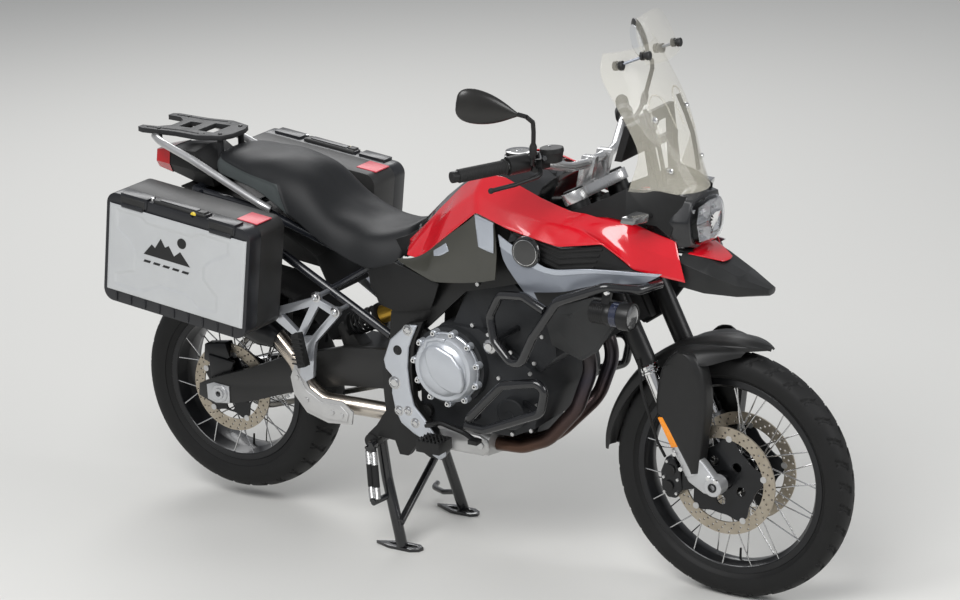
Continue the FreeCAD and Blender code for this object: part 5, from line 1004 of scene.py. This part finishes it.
deflector_rows = [spanned([(1396, -90, 1470), (1402, -60, 1466), (1408, -24, 1464)]),
                  spanned([(1378, -94, 1510), (1388, -62, 1508), (1396, -24, 1506)]),
                  spanned([(1362, -88, 1550), (1374, -60, 1552), (1384, -24, 1554)]),
                  spanned([(1352, -66, 1582), (1360, -48, 1590), (1368, -20, 1597)])]
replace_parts(panel("screen_deflector", deflector_rows, 3.4, screen_clear, inward=REARWARD), "screen_extension")
clamp_black = mottled("clamp_plastic", "black_plastic", shade(0.012), shade(0.022), 0.42, 0.10, 900.0, 0.04,
                      Specular_IOR_Level=0.35)
for name, x, y, z, r in (("lower", 1318, -110, 1462, 13), ("upper", 1384, -84, 1490, 12)):
    clamp = spindle("right_%s_clamp" % name, (x - 8, y, z), (x + 22, y, z + 4),
                    [(-2, r - 4), (0, r), (8, r), (9, r - 3), (16, r - 3), (17, r), (25, r), (27, r - 4)],
                    clamp_black, turns=24)
    fitted("screen_extension", clamp)
fitted("screen_extension", rods("right_deflector_arm", [((1322, -110, 1464), (1390, -84, 1492))], 4.0,
                                silver_satin, sides=16))


def screen_x(y, z):
    """How far forward the screen's outer face stands, from its own rows."""
    low = max(row for row in range(len(screen_rows) - 1) if screen_rows[row][0][2] <= z)
    share = (z - screen_rows[low][0][2]) / (screen_rows[low + 1][0][2] - screen_rows[low][0][2])
    found = []
    for row in (screen_rows[low], screen_rows[low + 1]):
        place = max(i for i in range(len(row) - 1) if row[i][1] <= y)
        run = (y - row[place][1]) / (row[place + 1][1] - row[place][1])
        found.append(row[place][0] + (row[place + 1][0] - row[place][0]) * run)
    return found[0] + (found[1] - found[0]) * share


def stretches(line):
    """The straight stretches from each point of a line to the next."""
    return list(zip(line, line[1:]))


for name, y, z in (("upper", -90, 1322), ("lower", -88, 1190)):
    x = screen_x(y, z)
    twin(spindle("right_%s_screen_screw" % name, (x - 4, y + 4, z), (x + 8, y - 5, z + 2),
                 [(0, 9), (3, 9), (5, 7.4), (9, 6.5), (11, 2)], chrome, turns=28))
arch_line = [(92, 1262), (91, 1292), (90, 1318)]
for i in range(1, 28):
    turn = math.pi * i / 28
    arch_line.append((56 + 34 * math.cos(turn), 1340 + 40 * math.sin(turn)))
arch_line += [(22, 1318), (20, 1290)]
for name, side in (("right", -1), ("left", 1)):
    arch = [(screen_x(side * out, z) - 1.0, side * out, z) for out, z in arch_line]
    rods(name + "_screen_arch", stretches(arch), 2.4, screen_clear)
    rail = [(screen_x(side * 96, z) - 12, side * 92, z) for z in (1150, 1200, 1250, 1300, 1350)]
    rods(name + "_screen_rail", stretches(rail), 6.0, black_plastic, sides=12)

# The cockpit carries the display on a black mast between two wings, over the steering head. The
# display's window is one plate of dark glass, sloped to face the rider.
dressed("cockpit", black_plastic, 3.0)
display_glass = mottled("display_glass", "gloss_black", shade(0.010, (0.9, 1.0, 1.3)),
                        shade(0.018, (0.9, 1.0, 1.3)), 0.08, 0.04, 120.0, 0.0, Coat_Weight=1.0)
display_corners = ((1288.4, -70, 1208), (1288.4, 70, 1208), (1320.2, 70, 1284), (1320.2, -70, 1284),
                   (1292, -70, 1206), (1292, 70, 1206), (1324, 70, 1282), (1324, -70, 1282))
display_faces = [(3, 2, 1, 0), (4, 5, 6, 7), (0, 1, 5, 4), (1, 2, 6, 5), (2, 3, 7, 6), (3, 0, 4, 7)]
piece("display_window", [at(*p) for p in display_corners], display_faces, display_glass, smooth=False)

# The handlebar is bright tapered tube in cast risers. It carries rubber grips, switch boxes, levers,
# the brake fluid cup and the mirrors.
bar_silver = mottled("handlebar_silver", "silver_cast", shade(0.56), shade(0.68), 0.26, 0.10, 500.0, 0.03,
                     Metallic=0.8)
grip_rubber = mottled("grip_rubber", "rubber", shade(0.012), shade(0.022), 0.66, 0.12, 1600.0, 0.12,
                      Specular_IOR_Level=0.3)
dressed("yokes", bar_silver, 4.0, ("head_tube", powder_black, (1100, 1400, 0, 60, 936, 1064)))
dressed("handlebar", bar_silver, 2.0)
dressed("brake_hoses", black_plastic, 0.4)
dressed("bar_controls", black_plastic, 2.5,
        ("rubber_grips", grip_rubber, (1050, 1140, 314, 454, 1180, 1240)),
        ("hand_levers", powder_black, (1100, 1200, 250, 440, 1160, 1207)))


def grip_place(y, side):
    """The middle of the bar out from the centre line."""
    s = (y - 270) / 160
    return Vector((1126 - 97 * s, side * y, 1218 - 7 * s))


for side, name in ((-1, "right"), (1, "left")):
    a = grip_place(318, side)
    b = grip_place(436, side)
    far = (b - a).length
    profile = [(0, 17.2), (0.6, 21), (4, 21.4), (6, 18)]
    for i in range(26):
        start = 8 + (far - 16) * i / 26
        profile += [(start, 17.6), (start + 1.0, 18.3), (start + 2.6, 18.3), (start + 3.4, 17.6)]
    profile += [(far - 2, 18.4), (far, 16)]
    spindle(name + "_grip_ribs", a, b, profile, grip_rubber, "steering", 36)
    spindle(name + "_bar_weight", grip_place(437, side), grip_place(456, side),
            [(0, 15.4), (14, 15.4), (17, 13), (17.4, 8), (15, 6.4), (15, 0.3)], powder_black, "steering", 36)
spindle("brake_fluid_cup", (1192, -236, 1222), (1190, -236, 1262),
        [(0, 24), (3, 27), (24, 30.4), (26, 32), (32, 32), (37, 31), (38, 28)], black_plastic, "steering", 48)
spindle("fluid_cup_screws", (1180, -228, 1259), (1180, -228, 1262), [(0, 4), (2, 4), (2.6, 3)], chrome,
        "steering", 12)
spindle("fluid_sight_glass", (1186, -264, 1238), (1186, -267, 1238), [(0, 8), (1.8, 8), (2.4, 6)],
        display_glass, "steering", 24)
mirror_black = mottled("mirror_shell", "black_plastic", shade(0.010, (1.05, 1.0, 0.92)),
                       shade(0.018, (1.05, 1.0, 0.92)), 0.30, 0.10, 1200.0, 0.03)
mirror_glass = Finish("mirror_glass", "steel", Base_Color=(0.85, 0.87, 0.90, 1), Metallic=1.0, Roughness=0.02)
stem = [(1152, -256, 1212), (1158, -280, 1222), (1166, -292, 1242), (1173, -300, 1268), (1182, -312, 1318),
        (1186, -321, 1346), (1176, -338, 1364), (1157, -350, 1371)]
head_root = Vector((1157, -350, 1370))
head_tip = Vector((1044, -461, 1414))
back_way = Vector((-0.78, 0.62, 0)).normalized()
up_way = Vector((0.12, 0.1, 0.98)).normalized()
HEAD_POINTS = 20
GLASS_POINTS = 28
head_points = []
for share, high, deep in ((-0.02, 5, 4), (0.06, 10, 8), (0.16, 20, 12), (0.30, 31, 16), (0.45, 40, 19),
                          (0.60, 45, 20), (0.75, 47, 19), (0.88, 44, 16), (0.96, 36, 12), (1.02, 22, 6)):
    middle = head_root + (head_tip - head_root) * share
    for i in range(HEAD_POINTS):
        turn = 2 * math.pi * i / HEAD_POINTS
        depth = math.cos(turn)
        swell = deep * (0.30 if depth > 0 else 1.0)
        lift = math.copysign(abs(math.sin(turn)) ** 0.8, math.sin(turn))
        head_points.append(at(*(middle + back_way * depth * swell + up_way * lift * high)))
head_faces = ring_faces(len(head_points) // HEAD_POINTS, HEAD_POINTS, False, True)
head_faces.append(tuple(reversed(range(HEAD_POINTS))))
head_faces.append(tuple(range(len(head_points) - HEAD_POINTS, len(head_points))))
shell = piece("right_mirror_shell", head_points, head_faces, mirror_black, "steering")
finished(shell, ("SUBSURF", {"levels": 1}))
glass_front = []
for i in range(GLASS_POINTS):
    turn = 2 * math.pi * i / GLASS_POINTS
    middle = head_root + (head_tip - head_root) * (0.56 + 0.40 * math.cos(turn))
    high = 33 + 6 * math.cos(turn)
    glass_front.append(at(*(middle + back_way * 6.6 + up_way * math.sin(turn) * high)))
glass_back = [p - back_way * 0.004 for p in glass_front]
fitted(
    "mirrors",
    sharp(shell, 50),
    rods("right_mirror_stalk", stretches(stem), 6.0, powder_black, "steering", 16),
    spindle("right_mirror_boot", (1170, -297, 1250), (1175, -303, 1284), [(0, 8), (4, 10), (26, 10), (34, 7)],
            grip_rubber, "steering", 24),
    spindle("right_mirror_foot", (1150, -252, 1196), (1153, -262, 1226),
            [(0, 11), (20, 11), (26, 8), (32, 7)], powder_black, "steering", 24),
    piece("right_mirror_glass", glass_front + glass_back, prism_faces(GLASS_POINTS), mirror_glass, "steering",
          False),
)

# The seat is one foam pad under black vinyl, crowned, with a rider's dip and a raised pillion place. A
# welded seam sets off a smoother grey-green flank on each side. The foam is soft, the pan rigid.
seat_vinyl = Finish("seat_vinyl", "seat_cover", Specular_IOR_Level=0.26)
vinyl_cloud = seat_vinyl.noise(11.0, 4.0)
forward, sideways, upward = seat_vinyl.axes()
behind_seam = (forward + upward * 0.55) < -0.00935
outboard = ((sideways > 0.085) + (sideways < -0.085)) > 0.5
flank_mask = behind_seam * outboard * (upward < forward * -0.19 + 0.90306)
vinyl_colour = seat_vinyl.mix(vinyl_cloud, shade(0.009, (0.95, 1.0, 1.08)), shade(0.017, (0.95, 1.0, 1.08)))
flank_colour = seat_vinyl.mix(vinyl_cloud, (0.050, 0.058, 0.058, 1), (0.070, 0.080, 0.080, 1))
seat_vinyl.set(Base_Color=seat_vinyl.mix(flank_mask, vinyl_colour, flank_colour),
               Roughness=vinyl_cloud * 0.16 + 0.44)
vinyl_grain = seat_vinyl.node("ShaderNodeTexVoronoi", None, {"Vector": seat_vinyl.point, "Scale": 620.0})
seat_vinyl.bump(vinyl_grain * 0.7 + seat_vinyl.noise(1500.0, 2.0) * 0.5, 0.22)
seat_stations = [
    (-20, [(0, 1050), (30, 1048), (52, 1040), (60, 1028), (52, 1018), (0, 1017)]),
    (-12, [(0, 1062), (44, 1058), (74, 1048), (84, 1030), (76, 1010), (0, 1006)]),
    (20, [(0, 1074), (60, 1070), (94, 1058), (110, 1036), (112, 1010), (0, 985)]),
    (80, [(0, 1076), (62, 1073), (100, 1060), (122, 1036), (126, 1004), (0, 964)]),
    (150, [(0, 1074), (64, 1071), (106, 1056), (132, 1028), (138, 994), (0, 947)]),
    (210, [(0, 1070), (64, 1066), (106, 1048), (136, 1012), (144, 966), (0, 928)]),
    (268, [(0, 1061), (64, 1056), (108, 1034), (138, 990), (148, 936), (0, 913)]),
    (310, [(0, 1042), (64, 1036), (110, 1012), (140, 966), (151, 912), (0, 896)]),
    (345, [(0, 1004), (64, 1000), (112, 982), (142, 940), (153, 892), (0, 880)]),
    (382, [(0, 962), (66, 960), (114, 950), (144, 914), (155, 872), (0, 872)]),
    (430, [(0, 936), (68, 936), (118, 926), (146, 890), (157, 850), (0, 868)]),
    (480, [(0, 916), (68, 918), (120, 908), (146, 868), (157, 828), (0, 868)]),
    (530, [(0, 906), (66, 908), (118, 900), (144, 862), (156, 812), (0, 868)]),
    (584, [(0, 914), (60, 914), (104, 904), (134, 862), (150, 806), (0, 868)]),
    (620, [(0, 928), (52, 924), (90, 906), (118, 872), (132, 832), (0, 868)]),
    (648, [(0, 940), (44, 934), (74, 914), (98, 886), (110, 862), (0, 868)])]
seat_points = []
for x, half in seat_stations:
    seat_points += [at(x, y, z) for y, z in closed(half)]
ring_size = len(closed(seat_stations[0][1]))
seat_faces = ring_faces(len(seat_stations), ring_size, False, True)
seat_faces.append(tuple(reversed(range(ring_size))))
seat_faces.append(tuple(range(len(seat_points) - ring_size, len(seat_points))))
seat = piece("seat_pad", seat_points, seat_faces, seat_vinyl)
seat_creases = seat.data.attributes.new("crease_edge", "FLOAT", "EDGE")
for edge in seat.data.edges:
    a, b = (v % ring_size for v in edge.vertices)
    if a == b and a in (4, ring_size - 4):
        seat_creases.data[edge.index].value = 0.85
finished(seat, ("SUBSURF", {"levels": 4}))
SEAM = [(-12, 1057), (25, 1050), (132, 1030), (215, 1014), (232, 1006), (245, 988), (266, 950), (291, 905),
        (316, 860)]
SEAM_DEPTH = 2.6
SEAM_WIDTH = 4.0
WAVE_DEPTH = 1.4


def seam_gap(x, z):
    """How far a point in millimetres is from the flank's seam, seen from the side."""
    best = 99.0
    for (xa, za), (xb, zb) in zip(SEAM, SEAM[1:]):
        run = Vector((xb - xa, zb - za))
        share = max(0.0, min(1.0, ((x - xa) * run.x + (z - za) * run.y) / run.length_squared))
        best = min(best, math.hypot(x - xa - run.x * share, z - za - run.y * share))
    return best


normals = [v.normal.copy() for v in seat.data.vertices]
for vertex, normal in zip(seat.data.vertices, normals):
    x = vertex.co.x * 1000 + MIDDLE_X
    y = abs(vertex.co.y) * 1000
    z = vertex.co.z * 1000
    if y > 40 and x < 340:
        depth = SEAM_DEPTH * math.exp(-(seam_gap(x, z) / SEAM_WIDTH) ** 2)
        vertex.co -= normal * depth / 1000
    wave = WAVE_DEPTH * math.sin(x * 0.043) * math.sin(y * 0.05 + 1.0)
    vertex.co += normal * wave / 1000
seat.data.polygons.foreach_set("use_smooth", [True] * len(seat.data.polygons))
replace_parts(seat, "seat")

# The rack and its rails: a black glass-filled moulding with a forked tail, on bright bent rails that
# also serve as grab handles.
rack_black = mottled("rack_plastic", "black_plastic", shade(0.014, (0.98, 1.0, 1.05)),
                     shade(0.028, (0.98, 1.0, 1.05)), 0.50, 0.12, 1300.0, 0.08, Specular_IOR_Level=0.4)
rail_silver = mottled("rail_paint", "silver_cast", shade(0.50), shade(0.62), 0.30, 0.10, 700.0, 0.03,
                      Metallic=0.7)
dressed("luggage_rack", rack_black, 5.0)
dressed("grab_rails", rail_silver, 2.0)
for name, side in (("left", 1), ("right", -1)):
    rib = [(x, side * y, 1107.4) for x, y in ((-258, 74), (-150, 66), (-76, 72))]
    rods("rack_rib_" + name, stretches(rib), 2.6, rack_black, sides=12)
rack_bolts = [(x, side * y) for x, y in ((-16, 50), (-215, 74)) for side in (-1, 1)]
rods("rack_bolts", [((x, y, 1106), (x, y, 1111)) for x, y in rack_bolts], 7, powder_black, "chassis", 24,
     0.86)

# The tail lamp is a red moulded lens in the black tail cover. Behind it hang the rear guard and the bare
# plate holder with its four bolts.
red_lens = mottled("red_lamp_lens", "lamp_red", (0.42, 0.004, 0.006, 1), (0.62, 0.010, 0.014, 1), 0.10, 0.05,
                   260.0, 0.25, Coat_Weight=1.0)
dressed("tail_lamp", black_plastic, 4.0, ("red_tail_lens", red_lens, (-254, -197, 0, 62, 968, 1050)))
dressed("rear_guards", black_plastic, 2.0)
holder_bolts = [(x, y, z) for y in (-60, 60) for x, z in ((-347.6, 610), (-320, 700))]
rods("plate_holder_bolts", [((x, y, z), (x - 2.5, y, z + 0.8)) for x, y, z in holder_bolts], 4, chrome,
     sides=12)

# The side cases are moulded black shells with hinged lids. Each lid has a band with two latches and a
# handle along its top, a ribbed foot strip, and a pressed aluminium panel between them.
case_black = mottled("case_plastic", "black_plastic", shade(0.016, (1.0, 1.0, 0.98)),
                     shade(0.030, (1.0, 1.0, 0.98)), 0.48, 0.12, 1200.0, 0.09, Specular_IOR_Level=0.4)
band_black = mottled("case_band_plastic", "black_plastic", shade(0.010, (0.92, 0.97, 1.15)),
                     shade(0.020, (0.92, 0.97, 1.15)), 0.34, 0.12, 1200.0, 0.05)
case_silver = mottled("pressed_case_panel", "silver_panel", shade(0.52, (0.98, 1.0, 1.01)),
                      shade(0.60, (0.98, 1.0, 1.01)), 0.34, 0.12, 480.0, 0.04, Metallic=0.25)
SLOPE = math.radians(6.6)
CASE_X = 62
CASE_Z = 822
dressed("case_shells", case_black, 3.0)


def case_point(u, y, v):
    """A place on the right-hand case: u forward along it, v up, from its middle."""
    return (CASE_X + u * math.cos(SLOPE) + v * math.sin(SLOPE), y,
            CASE_Z - u * math.sin(SLOPE) + v * math.cos(SLOPE))


def on_plain_panel(point):
    """Whether a place belongs to the lid's flat panel, which the pressed one stands for."""
    across = point.x * 1000 + MIDDLE_X - CASE_X
    over = point.z * 1000 - CASE_Z
    v = across * math.sin(SLOPE) + over * math.cos(SLOPE)
    return abs(point.y) > 0.3922 and -127.5 < v < 131.5


for lid in ("right_case_lid", "left_case_lid"):
    dressed(lid, band_black, 5.0, ("flat_panel", None, on_plain_panel))


FIELD = [(0.07, 0.06), (0.24, 0.06), (0.29, 0.12), (0.62, 0.12), (0.68, 0.06), (0.87, 0.07), (0.88, 0.20),
         (0.76, 0.33), (0.71, 0.42), (0.71, 0.57), (0.81, 0.72), (0.81, 0.90), (0.68, 0.92), (0.59, 0.80),
         (0.40, 0.80), (0.27, 0.92), (0.07, 0.92), (0.07, 0.80), (0.21, 0.71), (0.21, 0.50), (0.17, 0.38),
         (0.07, 0.26)]


def field_depth(s, t):
    """How far inside the pressed field a place is, as a share of the panel's width; less than 0 outside."""
    within = False
    best = 9.0
    for (sa, ta), (sb, tb) in zip(FIELD, FIELD[1:] + FIELD[:1]):
        if (ta > t) != (tb > t) and s < (sb - sa) * (t - ta) / (tb - ta) + sa:
            within = not within
        run = Vector((sb - sa, (tb - ta) * 0.55))
        to = Vector((s - sa, (t - ta) * 0.55))
        share = max(0.0, min(1.0, to.dot(run) / run.length_squared))
        best = min(best, (to - run * share).length)
    return best if within else -best


def step_up(value, width):
    share = max(0.0, min(1.0, value / width + 0.5))
    return share * share * (3 - 2 * share)


PANEL_LONG = 472
PANEL_HIGH = 256
WIDE = 118
TALL = 66
EMBOSSED = 2.6
CROWNED = 1.2
RIM = 12.0
panel_points = []
for j in range(TALL + 1):
    for i in range(WIDE + 1):
        s = i / WIDE
        t = j / TALL
        rim = min(s * PANEL_LONG, (1 - s) * PANEL_LONG, t * PANEL_HIGH + 6, (1 - t) * PANEL_HIGH + 6, RIM)
        y = -389.0 - 8.4 * math.sqrt(max(0.0, 1 - (1 - rim / RIM) ** 2))
        y += EMBOSSED * step_up(field_depth(s, t), 0.016)
        y -= CROWNED * math.sin(math.pi * s) * math.sin(math.pi * t)
        panel_points.append(at(*case_point(-236 + PANEL_LONG * s, y, 130 - PANEL_HIGH * t)))
panel_faces = [tuple(reversed(f)) for f in ring_faces(TALL + 1, WIDE + 1, False, False)]
case_panel = piece("right_case_panel", panel_points, panel_faces, case_silver, "right_lid")
finished(case_panel, ("SOLIDIFY", {"thickness": 0.0016, "offset": -1.0}))
sharp(case_panel, 60)


def lid_twin(made):
    """The left-hand lid's piece, mirrored and riding on the left-hand lid."""
    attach(twin(made), "left_lid")


lid_twin(case_panel)


def case_block(name, u0, u1, v0, v1, y0, y1, finish, edge=3.0, body="right_lid"):
    """A block on the case between two u, two v and two y, with rounded edges."""
    outline = ((u0, v0), (u1, v0), (u1, v1), (u0, v1))
    corners = [at(*case_point(u, y, v)) for y in (y0, y1) for u, v in outline]
    faces = [(0, 1, 2, 3), (7, 6, 5, 4), (4, 5, 1, 0), (5, 6, 2, 1), (6, 7, 3, 2), (7, 4, 0, 3)]
    made = piece(name, corners, faces, finish, body)
    finished(made, rounding(edge, 3, 30))
    return sharp(made, 40)


for name, u0, u1, v0, v1, y0, y1, finish, edge in (
    ("rear_latch", -194, -112, 134, 160, -384, -398, case_black, 3.0),
    ("front_latch", 108, 190, 134, 160, -384, -398, case_black, 3.0),
    ("rear_latch_foot", -190, -116, 128, 140, -392, -401, band_black, 2.0),
    ("front_latch_foot", 112, 186, 128, 140, -392, -401, band_black, 2.0),
    ("carry_handle", -88, 88, 154, 170, -352, -388, case_black, 5.0),
    ("handle_inlay", -70, 56, 168, 172.5, -360, -382, band_black, 1.2),
    ("key_plate", 60, 84, 166, 173, -362, -386, case_black, 2.0),
):
    lid_twin(case_block("right_" + name, u0, u1, v0, v1, y0, y1, finish, edge))
yellow_key = mottled("yellow_key_dot", "gold", (0.62, 0.46, 0.03, 1), (0.74, 0.56, 0.05, 1), 0.34, 0.08,
                     300.0, 0.04)
lid_twin(spindle("right_key_dot", case_point(50, -387, 160), case_point(50, -393, 160),
                 [(0, 9), (3, 9), (5, 6)], yellow_key, "right_lid", 28))
lid_twin(spindle("right_handle_screw", case_point(-96, -380, 166), case_point(-96, -380, 172),
                 [(0, 6), (4, 6), (6, 4)], bright_steel, "right_lid", 20))
for i in range(9):
    u = -200 + i * 50
    lid_twin(case_block("right_foot_rib_%d" % i, u - 3, u + 3, -158, -132, -384, -394.5, band_black, 1.2))
case_reflector = mottled("case_reflector", "lamp_red", (0.50, 0.03, 0.05, 1), (0.68, 0.07, 0.10, 1), 0.40,
                         0.06, 240.0, 0.20)
twin(case_block("right_case_reflector", 158, 226, 159.5, 163.2, -334, -262, case_reflector, 1.2, "chassis"))

# A plain ornament is printed in black on the right-hand panel: three hills under a sun, with a road of
# dashes below. Each shape is a flat film of its own.
print_black = mottled("printed_black", "black_plastic", shade(0.006), shade(0.012), 0.40, 0.08, 600.0, 0.02)


def printed(name, outline):
    """A flat black print that stands just proud of the panel, from (u, v) points."""
    points = [at(*case_point(u, y, v)) for y in (-394.5, -396.7) for u, v in outline]
    piece(name, points, prism_faces(len(outline)), print_black, "right_lid", False)


printed("printed_hills", [(-108, 8), (-82, 42), (-70, 34), (-52, 66), (-36, 44), (-24, 52), (-4, 26),
                          (16, 44), (52, 8)])
printed("printed_sun", [on_circle((20, 70), 15, 2 * math.pi * i / 28) for i in range(28)])
dash = ((-104, -8), (-82, -8), (-86, -15), (-108, -15))
for i in range(5):
    printed("printed_dash_%d" % i, [(u + 33 * i, v) for u, v in dash])

# Rider and pillion rest their feet on pegs: bright forged hangers with rubber pads behind, toothed
# steel pegs in front, with the brake pedal and gear lever beside them.
hanger_silver = mottled("forged_hanger", "silver_cast", shade(0.50, (0.95, 0.98, 1.04)),
                        shade(0.66, (0.95, 0.98, 1.04)), 0.30, 0.12, 560.0, 0.04, Metallic=0.75)
dressed("peg_hangers", hanger_silver, 3.0, ("pillion_pads", grip_rubber, (344, 394, 230, 262, 520, 630)))
pad_ribs = [538 + i * 12.6 for i in range(7)]
twin(rods("right_pad_ribs", [((350, -259, z), (388, -259, z)) for z in pad_ribs], 2.4, grip_rubber, sides=10))
for x, z in ((406, 728), (470, 694)):
    twin(spindle("right_hanger_bolt_%d" % x, (x, -212, z), (x, -224, z),
                 [(0, 15), (2, 15), (3, 11), (8, 10), (10, 8), (10, 5), (7, 5), (7, 0.3)], bright_steel,
                 turns=32))
dressed("foot_controls", powder_black, 1.5)
teeth = [(768 + i * 12.4, y) for i in range(6) for y in (-268, -252, -236, -220)]
twin(rods("right_peg_teeth", [((x, y, 383), (x, y, 391)) for x, y in teeth], 4.4, powder_black, "chassis", 8,
          0.4))

# The pivot plates carry the swinging arm and the centre stand. On the outside a silver cast plate with
# bolts and a sight hole covers the black bracket.
dressed("pivot_plates", powder_black, 3.0)
plate_shape = [(616, 574), (640, 636), (694, 686), (730, 690), (712, 650), (700, 620), (694, 560), (700, 500),
               (712, 452), (744, 420), (772, 384), (806, 344), (812, 322), (790, 306), (768, 316), (744, 356),
               (706, 372), (668, 396), (650, 430), (640, 480), (642, 530), (622, 548)]
twin(slab("right_silver_side_plate", plate_shape, -201, -191, cover_silver, "chassis", 5.0, 3))
twin(spindle("right_plate_sight_hole", (665, -198, 609), (665, -202.5, 609),
             [(0, 15), (3.4, 14), (3.9, 11), (3.2, 10), (3.0, 0.3)], powder_black, turns=32))
for name, x, z, r in (("pivot", 652, 512, 15), ("lower_rear", 664, 432, 11), ("lower", 694, 436, 10),
                      ("foot", 716, 404, 11), ("upper", 700, 672, 12)):
    twin(spindle("right_%s_bolt" % name, (x, -199, z), (x, -208, z),
                 [(0, r + 4), (2, r + 4), (3, r), (7, r - 1), (8.5, r - 4), (6, r - 5), (6, 0.3)],
                 bright_steel, turns=28))
dressed("rear_caliper", satin_black, 4.0)
dressed("rear_sprocket", bright_steel, 0.8)
chain_steel = mottled("oiled_chain_steel", "steel", shade(0.20, (1.0, 0.95, 0.85)),
                      shade(0.34, (1.0, 0.96, 0.88)), 0.30, 0.14, 300.0, 0.05, Metallic=0.9)
dressed("drive_chain", chain_steel, 0.6)

# Guard bars of bent black tube stand outside the shrouds and the engine, and carry the two auxiliary
# lamps on brackets.
bar_black = mottled("guard_bar_paint", "black_metal", shade(0.007, (0.95, 0.98, 1.1)),
                    shade(0.014, (0.95, 0.98, 1.1)), 0.22, 0.10, 500.0, 0.02, Coat_Weight=0.5)
dressed("crash_bars", bar_black, 0.8)
dressed("aux_lamps", powder_black, 2.0)
band_blue = mottled("lamp_band", "black_plastic", shade(0.016, (0.8, 1.0, 2.0)),
                    shade(0.028, (0.8, 1.0, 2.0)), 0.24, 0.08, 300.0, 0.02, Coat_Weight=0.4)
fin_profile = [(0, 26)]
for i in range(7):
    fin_profile += [(4 + i * 6, 30.5), (7 + i * 6, 30.5), (7.6 + i * 6, 27), (9.4 + i * 6, 27)]
fin_profile += [(48, 30.4), (60, 31), (62, 30)]
for name, rear, front, profile, finish, turns in (
    ("fins", 1320, 1390, fin_profile, powder_black, 40),
    ("band", 1384, 1410, [(0, 31), (1, 33), (20, 33), (22, 31)], band_blue, 40),
    ("ring", 1406, 1443, [(0, 34), (3, 37.6), (30, 37.6), (35, 36), (35.5, 33), (31, 32)], powder_black, 48),
    ("glass", 1437.5, 1446, [(0, 32), (2, 32), (5, 26), (7, 12), (7.4, 0.3)], clear_lens, 40),
):
    lamp_part = spindle("right_aux_lamp_" + name, (rear, -262, 838), (front, -262, 838), profile, finish,
                        turns=turns)
    twin(lamp_part)
twin(spindle("right_aux_bracket_bolt", (1372, -274, 900), (1372, -282, 900),
             [(0, 9), (4, 9), (7, 6), (7.4, 0.3)], chrome, turns=24))

# The centre stand is one welded black frame on its pivot, drawn up by twin springs in black sleeves.
# The side stand folds along the left-hand side.
dressed("centre_stand", bar_black, 0.8)
dressed("side_stand", bar_black, 2.0)
SPRING_COILS = 9
for name, x in (("rear", 563), ("front", 581)):
    top = Vector((x, -212, 306))
    foot = Vector((x + 8, -212, 156))
    along = (foot - top).normalized()
    far = (foot - top).length
    spindle(name + "_spring_sleeve", top + along * far * 0.30, top + along * far * 0.74,
            [(0, 8.6), (1, 9.6), (far * 0.44 - 1, 9.6), (far * 0.44, 8.6)], grip_rubber, "centre_stand", 20)
    for end, start, stop in (("top", 0.04, 0.30), ("foot", 0.74, 0.97)):
        coils = []
        for i in range(SPRING_COILS):
            place = far * (start + (stop - start) * i / SPRING_COILS)
            coils += [(place, 8.4), (place + 1.4, 9.5), (place + 2.8, 9.5), (place + 4.0, 8.4)]
        spindle("%s_spring_%s" % (name, end), top, foot, coils, bright_steel, "centre_stand", 20)

# The studio: a plain pale floor under soft light from three large lamps, and the camera at the
# photograph's viewing angle.
floor_paint = Finish("pale_floor", "floor", Base_Color=(0.66, 0.655, 0.63, 1), Roughness=0.9)
floor_mesh = bpy.data.meshes.new("floor")
floor_mesh.from_pydata([(-30, -30, 0), (30, -30, 0), (30, 30, 0), (-30, 30, 0)], [], [(0, 1, 2, 3)])
floor_mesh.materials.append(floor_paint.material)
floor = bpy.data.objects.new("floor", floor_mesh)
bpy.context.scene.collection.objects.link(floor)
floor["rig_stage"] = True

world = bpy.data.worlds.new("soft_sky")
world.use_nodes = True
sky = world.node_tree
sky.nodes["Background"].inputs["Color"].default_value = (0.80, 0.82, 0.86, 1)
sky.nodes["Background"].inputs["Strength"].default_value = 0.44
bpy.context.scene.world = world


def soft_lamp(name, place, aim, size, power):
    data = bpy.data.lights.new(name, "AREA")
    data.shape = "RECTANGLE"
    data.size = size
    data.size_y = size * 0.7
    data.energy = power
    lamp = bpy.data.objects.new(name, data)
    lamp.location = place
    lamp.rotation_euler = (Vector(aim) - Vector(place)).to_track_quat("-Z", "Y").to_euler()
    bpy.context.scene.collection.objects.link(lamp)


soft_lamp("key", (0.5, -4.2, 5.0), (0, 0, 0.6), 4.0, 300.0)
soft_lamp("rim", (-3.5, 4.0, 4.5), (0, 0, 0.7), 4.0, 170.0)
soft_lamp("front", (5.5, 1.0, 3.2), (0.3, 0, 0.7), 3.0, 110.0)

LENS_TURN = math.radians(31.91)
LENS_LIFT = math.radians(17.84)
LENS_ROLL = math.radians(1.47)
LENS_PLACE = (5.3279 - MIDDLE_X / 1000, -7.2526, 3.4678)
back = Vector((math.sin(LENS_TURN) * math.cos(LENS_LIFT), -math.cos(LENS_TURN) * math.cos(LENS_LIFT),
               math.sin(LENS_LIFT)))
right = (-back).cross(Vector((0, 0, 1))).normalized()
down = (-back).cross(right).normalized()
level = right * math.cos(LENS_ROLL) + down * math.sin(LENS_ROLL)
under = down * math.cos(LENS_ROLL) - right * math.sin(LENS_ROLL)
long_lens = bpy.data.cameras.new("photographer")
long_lens.lens = 121.39
long_lens.sensor_width = 36.0
camera = bpy.data.objects.new("photographer", long_lens)
camera.matrix_world = Matrix.Translation(LENS_PLACE) @ Matrix((level, -under, back)).transposed().to_4x4()
bpy.context.scene.collection.objects.link(camera)
bpy.context.scene.camera = camera
bpy.context.scene.view_settings.view_transform = "Standard"

low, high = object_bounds()
